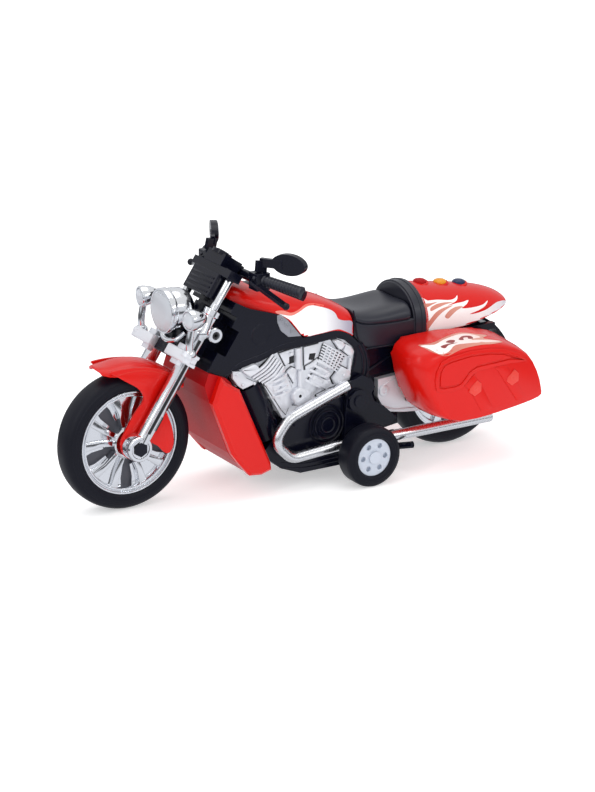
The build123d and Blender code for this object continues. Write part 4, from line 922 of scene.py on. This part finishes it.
# ---------------------------------------------------------------- tail shell and printed flames
# Red ABS tail with three domed buttons. The flames are printed film on the sides: white
# tongues with salmon streaks, pressed on over the moulding's curve.
TAIL_STATIONS = [  # x, half width, lower edge, shoulder, top
    (-73.9, 20.5, 70.0, 80.0, 97.0), (-75.0, 20.45, 70.1, 80.0, 96.8), (-86.0, 20.0, 70.9, 79.8, 95.2),
    (-98.0, 19.3, 71.8, 79.5, 93.2), (-110.0, 18.0, 73.2, 79.5, 91.4), (-120.0, 16.2, 74.4, 79.4, 89.4),
    (-128.0, 13.6, 75.5, 79.1, 87.0), (-133.5, 11.0, 76.3, 78.9, 84.6), (-137.2, 8.2, 76.9, 78.6, 82.2),
    (-139.0, 5.6, 77.2, 78.2, 79.8),
]
tail = bmesh.new()
rings = []
for x, half, low, shoulder, top in TAIL_STATIONS:
    rise = top - shoulder
    rows = [(half - 1.5, low), (half - 0.3, low + 0.1), (half, low + 0.8), (half, (low + shoulder) / 2 + 0.4)]
    for degrees in (8, 26, 44, 62, 78, 90):
        turn = math.radians(degrees)
        rows.append((half * math.cos(turn), shoulder + rise * 1.02 * math.sin(turn)))
    rings.append(both_sides(rows, x))
loft(tail, rings)
tail_cover = piece("tail_cover", tail, [red_abs], "chassis", ["tail_shell"], smooth=60,
    subdivide=2)


def decal(name, outlines, target, material, along, body="chassis", lift=0.05, cell=1.2):
    """Printed film: flat outlines cut into small cells and laid on a piece along one direction.
    An outline holds (x, height) points on a plane that faces the side, or halfway up from it."""
    surface = BVHTree.FromObject(target, bpy.context.evaluated_depsgraph_get())
    tilt = {"side": 0.0, "slope": math.radians(45)}[along]
    film = bmesh.new()
    for outline, side in outlines:
        flat = bmesh.new()
        outward = Vector((0, side * math.cos(tilt), math.sin(tilt)))
        upward = Vector((0, -side * math.sin(tilt), math.cos(tilt)))
        start = outward * 120
        flat.faces.new([flat.verts.new(start + upward * rise + Vector((x, 0, 0))) for x, rise in outline])
        for axis in ((1, 0, 0), upward):
            spots = [v.co.dot(Vector(axis)) for v in flat.verts]
            cut = min(spots) + cell
            while cut < max(spots):
                bmesh.ops.bisect_plane(
                    flat, geom=list(flat.verts) + list(flat.edges) + list(flat.faces),
                    plane_co=Vector(axis) * cut, plane_no=axis, dist=0.0001,
                )
                cut += cell
        bmesh.ops.triangulate(flat, faces=list(flat.faces))
        missed = []
        for vert in flat.verts:
            hit, normal, _, _ = surface.ray_cast(vert.co * MM, -outward)
            if hit is None:
                missed.append(vert)
            else:
                vert.co = hit / MM + normal * lift
        bmesh.ops.delete(flat, geom=missed, context="VERTS")
        part = bpy.data.meshes.new("part")
        flat.to_mesh(part)
        flat.free()
        film.from_mesh(part)
        bpy.data.meshes.remove(part)
    bmesh.ops.recalc_face_normals(film, faces=film.faces)
    return piece(name, film, [material], body, smooth=60)


TAIL_WHITE = [
    (-74.5, 90.2), (-78.0, 89.8), (-85.0, 89.2), (-92.0, 88.0), (-96.4, 88.0), (-99.6, 89.0),
    (-97.4, 87.0), (-92.6, 86.0), (-90.0, 85.5), (-96.0, 85.8), (-101.0, 85.7), (-105.6, 85.9),
    (-103.2, 84.2), (-99.6, 82.9), (-103.6, 82.2), (-110.6, 81.9), (-115.6, 82.2), (-119.6, 83.4),
    (-117.0, 81.2), (-111.6, 79.7), (-104.8, 78.8), (-110.0, 78.3), (-117.6, 79.0), (-125.6, 80.9),
    (-131.6, 80.6), (-136.0, 79.4), (-137.6, 77.6), (-134.0, 76.4), (-128.0, 75.6), (-119.0, 74.4),
    (-108.0, 73.0), (-98.0, 71.9), (-86.0, 71.0), (-74.5, 70.6),
]
TAIL_SALMON = [
    [(-78.4, 86.3), (-83.0, 87.4), (-88.6, 87.4), (-94.6, 86.6), (-89.0, 86.4), (-82.6, 85.4), (-78.2, 84.6)],
    [(-74.2, 77.2), (-77.4, 80.6), (-81.6, 83.6), (-87.2, 85.0), (-93.8, 85.2), (-87.6, 83.6),
     (-83.0, 81.4), (-79.2, 78.4), (-76.0, 75.2), (-74.2, 73.2)],
    [(-87.2, 80.4), (-90.6, 83.0), (-95.6, 84.2), (-100.6, 83.6), (-96.0, 82.3), (-92.2, 80.4),
     (-89.4, 78.8)],
    [(-75.0, 88.6), (-79.0, 88.4), (-84.0, 88.3), (-80.0, 87.6), (-75.4, 86.8)],
]
TANK_WHITE = [
    (19.4, 97.9), (16.4, 97.0), (12.0, 96.0), (7.0, 97.3), (2.0, 98.9), (-2.6, 98.8), (-6.4, 97.6),
    (-9.8, 96.5), (-14.0, 94.6), (-16.4, 92.4), (-17.6, 89.6), (-21.6, 88.0), (-26.6, 86.8),
    (-27.9, 83.4), (-27.6, 79.2), (-25.2, 80.4), (-21.0, 82.6), (-16.8, 84.1), (-9.0, 83.7), (-2.0, 83.4),
    (4.4, 83.2), (7.0, 86.2), (10.4, 90.6), (13.6, 94.2),
]
TANK_PINK = [
    (21.6, 99.6), (17.0, 99.4), (12.4, 97.6), (8.0, 98.2), (3.0, 99.9), (-2.0, 99.9), (-6.4, 98.8),
    (-10.6, 97.5), (-7.4, 96.9), (-2.8, 98.2), (2.0, 98.3), (7.0, 96.8), (12.0, 95.6), (16.6, 96.5),
    (19.6, 97.6),
]


def shaded_film(name, colour, far_colour, start, end, rough=0.3):
    """Printed film whose ink runs from one colour at x start to another at x end, in mm."""
    material = plastic(name, colour, rough, tint=0.97, bump=0.01)
    tree = material.node_tree
    place = tree.nodes["Texture Coordinate"]
    spot = add_node(tree, "SeparateXYZ", {0: place.outputs["Object"]})
    run = add_node(tree, "MapRange", {"Value": spot.outputs["X"], "From Min": start * MM,
        "From Max": end * MM})
    inks = add_node(tree, "Mix", {"Factor": run.outputs[0]}, data_type="RGBA")
    inks.inputs[6].default_value = linear(colour)
    inks.inputs[7].default_value = linear(far_colour)
    tree.links.new(inks.outputs[2], tree.nodes["Principled BSDF"].inputs["Base Color"])
    return material


# screen-printed white film under lacquer: bright, with the inks running into each other
tail_white = shaded_film("white_printed_film", "fbf7f5", "d2cfd6", -112, -136)
tank_white = shaded_film("white_printed_tank_film", "fdfdfd", "a9a3b4", -6, -24)
salmon_film = shaded_film("salmon_printed_film", "cf7a68", "d89a88", -74, -100)
pink_film = shaded_film("pink_printed_film", "f08a7c", "e84f40", 16, -9)
both = (1, -1)
decal("tank_print_pink", [(smooth_loop(TANK_PINK, 3), s) for s in both], tank_shell, pink_film, "side",
    lift=0.04)
decal("tank_print_white", [(smooth_loop(TANK_WHITE, 3), s) for s in both], tank_shell, tank_white, "side",
    lift=0.08)
decal("tail_print_white", [(smooth_loop(TAIL_WHITE, 3), s) for s in both], tail_cover, tail_white, "side",
    lift=0.05)
decal(
    "tail_print_salmon", [(smooth_loop(streak, 3), s) for streak in TAIL_SALMON for s in both],
    tail_cover, salmon_film, "side", lift=0.1,
)

for colour, x, skin in (("red", -83.4, 95.3), ("yellow", -97.0, 93.2), ("blue", -109.8, 91.2)):
    paint = {"red": dark_red_abs, "yellow": yellow_gloss, "blue": blue_gloss}[colour]
    button = bmesh.new()
    lathe(button, [(-4.0, 0), (-4.0, 3.6), (0.9, 3.7), (1.6, 3.4), (2.1, 2.6), (2.45, 1.4), (2.55, 0)],
          (x, 0, skin), (0, 0, 1), steps=48)
    piece(f"button_cap_{colour}", button, [paint], f"{colour}_button",
        [f"button_{colour}"], smooth=50)
    collar = bmesh.new()
    lathe(collar, [(-0.8, 3.9), (0.1, 3.9), (0.3, 4.2), (0.2, 4.6), (-0.3, 4.9), (-0.8, 4.9), (-0.8, 3.9)],
          (x, 0, skin + 0.1), (0.16, 0, 1), steps=48)
    piece(f"button_collar_{colour}", collar, [red_abs], "chassis", smooth=50)


# ---------------------------------------------------------------- saddlebags
# Hollow red ABS bags, one moulding a side with the lid, straps and buckles moulded on, and a
# printed flame on the lid's top. Each is screwed to a flat back that hangs on the tail rail.
BAG_INNER = [
    (-50.5, 66), (-57, 74), (-80, 74.5), (-104, 72), (-122, 64.5), (-134, 43), (-128, 34), (-72, 31.5),
    (-56, 46),
]
BAG_MIDDLE = [
    (-49.5, 64), (-56, 73), (-80, 74), (-104, 71.5), (-123, 62.5), (-134, 42), (-128, 33.5), (-72, 31),
    (-55.5, 46),
]
BAG_FACE = [
    (-60.0, 58.5), (-65.5, 68), (-83, 70), (-103, 68.5), (-122.5, 59.8), (-131.5, 41), (-125.5, 34.5),
    (-79, 30.3), (-64.4, 42.5),
]
LID_LINE = [
    (-121.6, 57.8), (-110.0, 58.4), (-97.0, 57.8), (-88.4, 57.6), (-84.4, 55.8), (-81.4, 52.4),
    (-78.2, 49.6), (-73.4, 48.6), (-65.0, 48.8), (-61.2, 50.6),
]
LID_TOP = [
    (-60.2, 56.0), (-60.9, 61.0), (-64.2, 66.4), (-70.0, 68.2), (-83.0, 69.6), (-96.0, 69.0),
    (-106.0, 67.2), (-115.0, 63.6),
]
STRAPS = [
    [(-79.4, 50.2), (-86.2, 56.0), (-92.4, 46.4), (-98.6, 35.6), (-98.8, 34.0), (-91.6, 33.6),
     (-87.0, 41.4), (-83.0, 47.6)],
    [(-99.4, 57.6), (-106.6, 58.2), (-111.4, 52.6), (-121.0, 37.6), (-115.6, 35.8), (-108.0, 46.4),
     (-102.4, 54.6)],
]
BUCKLES = [(-87.0, 48.0), (-112.0, 50.0)]
BUCKLE = [(4.2, -1.6), (0.4, -4.6), (-3.8, -2.6), (-3.8, 1.8), (-1.0, 4.2), (3.4, 0.6)]
BAG_FLAMES = {  # (x, height up the lid's front slope)
    "bag_print_salmon": [
        [(-59.5, 19.0), (-63.5, 15.0), (-68.5, 13.5), (-78.5, 15.5), (-91.0, 16.0), (-99.0, 15.5),
         (-108.0, 17.0), (-101.0, 19.5), (-97.0, 21.5), (-103.5, 24.5), (-97.5, 26.5), (-90.0, 30.0),
         (-79.0, 28.5), (-68.0, 25.0), (-62.0, 24.5), (-57.5, 25.5)],
    ],
    "bag_print_white": [
        [(-60.0, 20.5), (-62.0, 17.0), (-64.5, 15.0), (-69.5, 15.5), (-76.0, 19.0), (-85.5, 18.5),
         (-92.5, 18.0), (-88.5, 21.5), (-96.5, 22.5), (-93.5, 27.0), (-88.0, 28.5), (-79.5, 27.0),
         (-72.5, 25.0), (-65.0, 22.5), (-58.0, 24.5)],
        [(-87.5, 21.0), (-93.0, 18.0), (-99.0, 17.0), (-107.0, 17.5), (-99.0, 19.0)],
    ],
    "bag_print_red": [
        [(-81.5, 23.0), (-84.5, 25.0), (-87.5, 26.0), (-91.5, 25.0), (-90.5, 22.0), (-87.5, 22.5),
         (-88.5, 24.0), (-85.5, 24.0), (-84.0, 22.0)],
        [(-72.5, 22.5), (-76.0, 24.0), (-79.0, 23.0), (-76.0, 21.0)],
        [(-68.5, 18.0), (-72.5, 20.0), (-79.0, 20.5), (-73.0, 21.0), (-67.0, 20.0)],
    ],
}


def mixed(a, b, share, bulge=0.0):
    """An outline between two others, pushed out from its middle by a bulge in millimetres."""
    points = [Vector(between(p, q, share)) for p, q in zip(a, b)]
    middle = sum(points, Vector((0, 0))) / len(points)
    return [tuple(p + (p - middle).normalized() * bulge) for p in points]


# each printed layer with its ink and its height over the lid, so that no two lie in one plane
bag_films = {
    "bag_print_salmon": (salmon_film, 0.05),
    "bag_print_white": (shaded_film("white_printed_bag_film", "fdf6f3", "f6d9d2", -60, -104), 0.09),
    "bag_print_red": (plastic("dark_red_printed_film", "8c1410", 0.3, tint=0.95), 0.13),
}
# paler, finely textured patch of the same red moulding: the paler colour is painted highlight, so the buckles
# look as if they catch more light
buckle_red = plastic("red_abs_textured_painted_highlight", "e5382b", 0.34, bump=0.05, edge_wear_and_highlight="f08070")
for side, word in SIDES:
    bag = bmesh.new()
    sections = [(23.2, BAG_INNER), (30.5, mixed(BAG_INNER, BAG_MIDDLE, 0.6, 0.2))]
    for step in range(9):
        turn = math.radians(90) * step / 8
        share = 0.75 * (1 - math.cos(turn)) + 0.25 * step / 8
        sections.append((37.5 + 12.5 * math.sin(turn), mixed(BAG_MIDDLE, BAG_FACE, share)))
    loft(bag, [[(x, side * y, z) for x, z in smooth_loop(outline, 4)] for y, outline in sections])
    body = piece(f"saddlebag_body_{word}", bag, [red_abs], "chassis", [f"saddlebag_{word}"],
        smooth=60)
    lid = bmesh.new()
    outline = LID_LINE + LID_TOP
    face = lid.faces.new([lid.verts.new((x, side * 49.4, z)) for x, z in outline])
    top_face = pushed_out(lid, face, (0, side * 1.2, 0))
    bmesh.ops.recalc_face_normals(lid, faces=lid.faces)
    for thickness, depth in ((0.45, 0.2), (1.6, 0.0), (0.4, -0.75), (0.6, 0.0), (0.4, 0.7)):
        bmesh.ops.inset_region(lid, faces=top_face, thickness=thickness, depth=depth)
    for strap in STRAPS:
        plate(lid, strap, side * 49.5, side * 50.4, edge=0.25)
    buckles = bmesh.new()
    for bx, bz in BUCKLES:
        plate(buckles, [(bx + dx, bz + dz) for dx, dz in BUCKLE], side * 50.0, side * 50.8, edge=0.35)
        lathe(buckles, [(-0.2, 1.5), (0.05, 1.45), (0.05, 0.9), (-0.5, 0.8), (-0.5, 0)],
            (bx - 0.2, side * 50.82, bz - 0.2), (0, side, 0), 16)
    piece(f"bag_buckles_{word}", buckles, [buckle_red], "chassis", smooth=40)
    piece(f"saddlebag_lid_{word}", lid, [red_abs], "chassis", smooth=40)
    for film_name, shapes in BAG_FLAMES.items():
        ink_coat, lift = bag_films[film_name]
        sheets = [(smooth_loop(shape, 3), side) for shape in shapes]
        decal(f"{film_name}_{word}", sheets, body, ink_coat, "slope", lift=lift)


# ---------------------------------------------------------------- exhaust pipes
# Plated ABS pipe that drops from the engine, loops under the belly and runs back to an open
# muffler. Two pegs press into the engine and the crankcase.
PIPE_ROUTE = [(-19.5, 54.2), (17.5, 41.5), (26.8, 30.0), (15.5, 18.7), (-12, 20.7), (-50, 20.9)]
PIPE_BENDS = [14, 7.5, 9, 40]
PIPE_Y = 27.0
PIPE_RADIUS = 2.9


def rounded_line(points, radii, steps=8):
    """A line of straight runs whose inner corners become arcs of the given radii."""
    line = [Vector(points[0])]
    for before, corner, after, radius in zip(points, points[1:], points[2:], radii):
        corner = Vector(corner)
        back = (Vector(before) - corner).normalized()
        on = (Vector(after) - corner).normalized()
        half_turn = back.angle(on) / 2
        centre = corner + (back + on).normalized() * radius / math.sin(half_turn)
        start = corner + back * radius / math.tan(half_turn) - centre
        end = corner + on * radius / math.tan(half_turn) - centre
        line += [centre + start.slerp(end, k / steps) * radius for k in range(steps + 1)]
    return line + [Vector(points[-1])]


# plated ABS over a coarser mould: the shine is spread into one broad soft highlight
soft_chrome = plastic("satin_chrome_plated_abs", "f0f1f4", 0.26, tint=0.97, metal=1.0, bump=0.01)
for side, word in SIDES:
    pipe = bmesh.new()
    tube(pipe, [(x, side * PIPE_Y, z) for x, z in rounded_line(PIPE_ROUTE, PIPE_BENDS)], PIPE_RADIUS,
        sides=32, steps=1)
    lathe(
        pipe,
        [(0, 0), (0, 2.62), (0.8, 3.0), (1.2, 3.1), (67.4, 3.1), (67.9, 2.9), (68.0, 2.6), (67.6, 2.35),
         (56, 2.3), (56, 0)],
        (-46, side * 28.2, 20.7), (-1, 0, 0), steps=40,
    )
    lathe(pipe, [(0, 0), (0, 2.0), (8.0, 2.0), (8.0, 0)], (-17.5, side * 19.0, 53.5), (0, side, 0), steps=24)
    lathe(pipe, [(0, 0), (0, 1.6), (5.0, 1.6), (5.0, 0)], (0, side * 22.0, 18.9), (0, side, 0), steps=24)
    piece(f"exhaust_plated_{word}", pipe, [soft_chrome], "chassis", [f"exhaust_{word}"],
        smooth=40)


# ---------------------------------------------------------------- swing arm
# Silver lacquered ABS arm with a pierced window, a raised rib round it and a pivot cap.
SWING_RIBS = [
    [(-47.0, 46.5), (-54.0, 49.6), (-62.0, 50.6), (-69.0, 47.6), (-78.0, 43.4), (-94.0, 40.6)],
    [(-46.6, 35.6), (-56.0, 32.0), (-64.0, 31.2), (-84.0, 29.4), (-101.0, 32.2)],
]
for side, word in SIDES:
    arm = bmesh.new()
    for line in SWING_RIBS:
        tube(arm, [(x, side * 18.9, z) for x, z in line], 0.6, sides=8)
    lathe(arm, [(-0.5, 3.3), (0.9, 3.2), (1.2, 2.8), (1.2, 1.4), (0.7, 1.2), (0.7, 0)],
        (-48.2, side * 18.9, 44.0), (0, side, 0), 24)
    lathe(arm, [(-0.5, 4.6), (0.8, 4.5), (1.2, 4.0), (1.2, 0)], (-102.2, side * 18.6, 37.0), (0, side, 0), 32)
    piece(f"swing_arm_ribs_{word}", arm, [silver], "chassis", smooth=45)


# ---------------------------------------------------------------- stabiliser wheels
# Small hard wheels on a steel pin: a black ring moulded on a pale hub with six round holes.
TRAINER = (-26.7, 16.75)
for side, word in SIDES:
    ring = bmesh.new()
    profile = [
        (31.4, 10.4), (31.5, 12.2), (31.7, 14.8), (32.7, 16.2), (34.0, 16.7), (35.0, 16.75),
        (41.2, 16.75), (42.2, 16.7), (43.4, 16.3), (44.2, 15.2), (44.45, 13.9), (44.3, 13.6),
        (44.65, 13.2), (44.7, 12.0), (44.4, 11.2), (43.6, 10.8), (43.5, 10.4),
    ]
    turned(ring, [(side * y, radius) for y, radius in profile], TRAINER[0], 0, TRAINER[1], steps=72)
    piece(f"stabiliser_ring_{word}", ring, [rubber], f"stabiliser_{word}",
        [f"trainer_tyre_{word}"], smooth=28)


# ---------------------------------------------------------------- handlebar fittings
# Ribbed black grips pushed on the bar, switch pods with small caps, and silvered mirror faces.
GRIP_START = Vector((34.2, 28.0, 120.4))
GRIP_END = Vector((22.6, 49.5, 117.0))
# mirror foil: brighter and smoother than the chrome
mirror_silver = plastic("mirror_foil", "c9ccd2", 0.06, tint=0.98, metal=1.0, bump=0.0)
for side, word in SIDES:
    start = Vector((GRIP_START.x, side * GRIP_START.y, GRIP_START.z))
    heading = Vector((GRIP_END.x, side * GRIP_END.y, GRIP_END.z)) - start
    profile = [(0, 0), (0, 3.5), (0.9, 3.6), (1.5, 3.4), (1.6, 2.8)]
    for rib in range(11):
        s = 2.2 + rib * 1.75
        profile += [(s, 2.75), (s + 0.25, 3.05), (s + 1.1, 3.05), (s + 1.35, 2.75)]
    profile += [(21.8, 2.8), (22.0, 3.25), (23.2, 3.2), (23.7, 2.6), (23.8, 0)]
    grip = bmesh.new()
    lathe(grip, profile, start, heading, steps=32)
    for dx, dz, radius in ((2.6, 1.2, 1.1), (-0.6, 2.4, 0.9)):
        lathe(grip, [(0, 0), (0, radius), (0.7, radius), (1.0, radius * 0.7), (1.0, 0)],
              (35.5 + dx * 1.4, side * 27.5, 121.0 + dz), (0.8, 0, 0.6), steps=16)
    piece(f"grip_{word}", grip, [satin_black], "fork", smooth=40)
    mirror_centre = Vector((26.7, side * 39.6, 130.2))
    rearward = Vector((-0.89, -side * 0.45, 0)).normalized()
    wide = Vector((-0.45, side * 0.89, 0)).normalized()
    glass = bmesh.new()
    rim_line = []
    for step in range(40):
        turn = math.tau * step / 40
        spot = wide * 8.9 * math.cos(turn) + Vector((0, 0, 4.6 * math.sin(turn)))
        rim_line.append(mirror_centre + rearward * 3.7 + spot)
    sheet = glass.faces.new([glass.verts.new(point) for point in rim_line])
    pushed_out(glass, sheet, rearward * 0.45)
    piece(f"mirror_foil_{word}", glass, [mirror_silver], "fork", smooth=40, bevel=0.12)

dash = bmesh.new()
for ring_radius, ring_height in ((5.6, 0.9), (3.6, 1.3)):
    lathe(
        dash,
        [(-1.0, 0), (-1.0, ring_radius), (ring_height, ring_radius), (ring_height + 0.2, ring_radius - 0.4),
         (ring_height - 0.4, ring_radius - 0.9), (ring_height - 0.4, 0)],
        fork_point(110.0, 2.0, 0), UP_FORK, steps=40,
    )
for bar in range(4):
    block(dash, (-2.9 + bar * 2.2, -12.6, 98.4), (-1.9 + bar * 2.2, 12.6, 99.3), FORK_TURN, edge=0.2)
    block(dash, (5.5, -10.5, 87.5 + bar * 2.6), (6.1, 10.5, 88.7 + bar * 2.6), FORK_TURN, edge=0.2)
for y in (-9.5, 9.5):
    lathe(dash, [(0, 0), (0, 1.5), (0.6, 1.4), (0.8, 1.0), (0.8, 0)], fork_point(103.4, 0.5, y), UP_FORK,
        steps=16)
piece("console_details", dash, [black_abs], "fork", smooth=40)
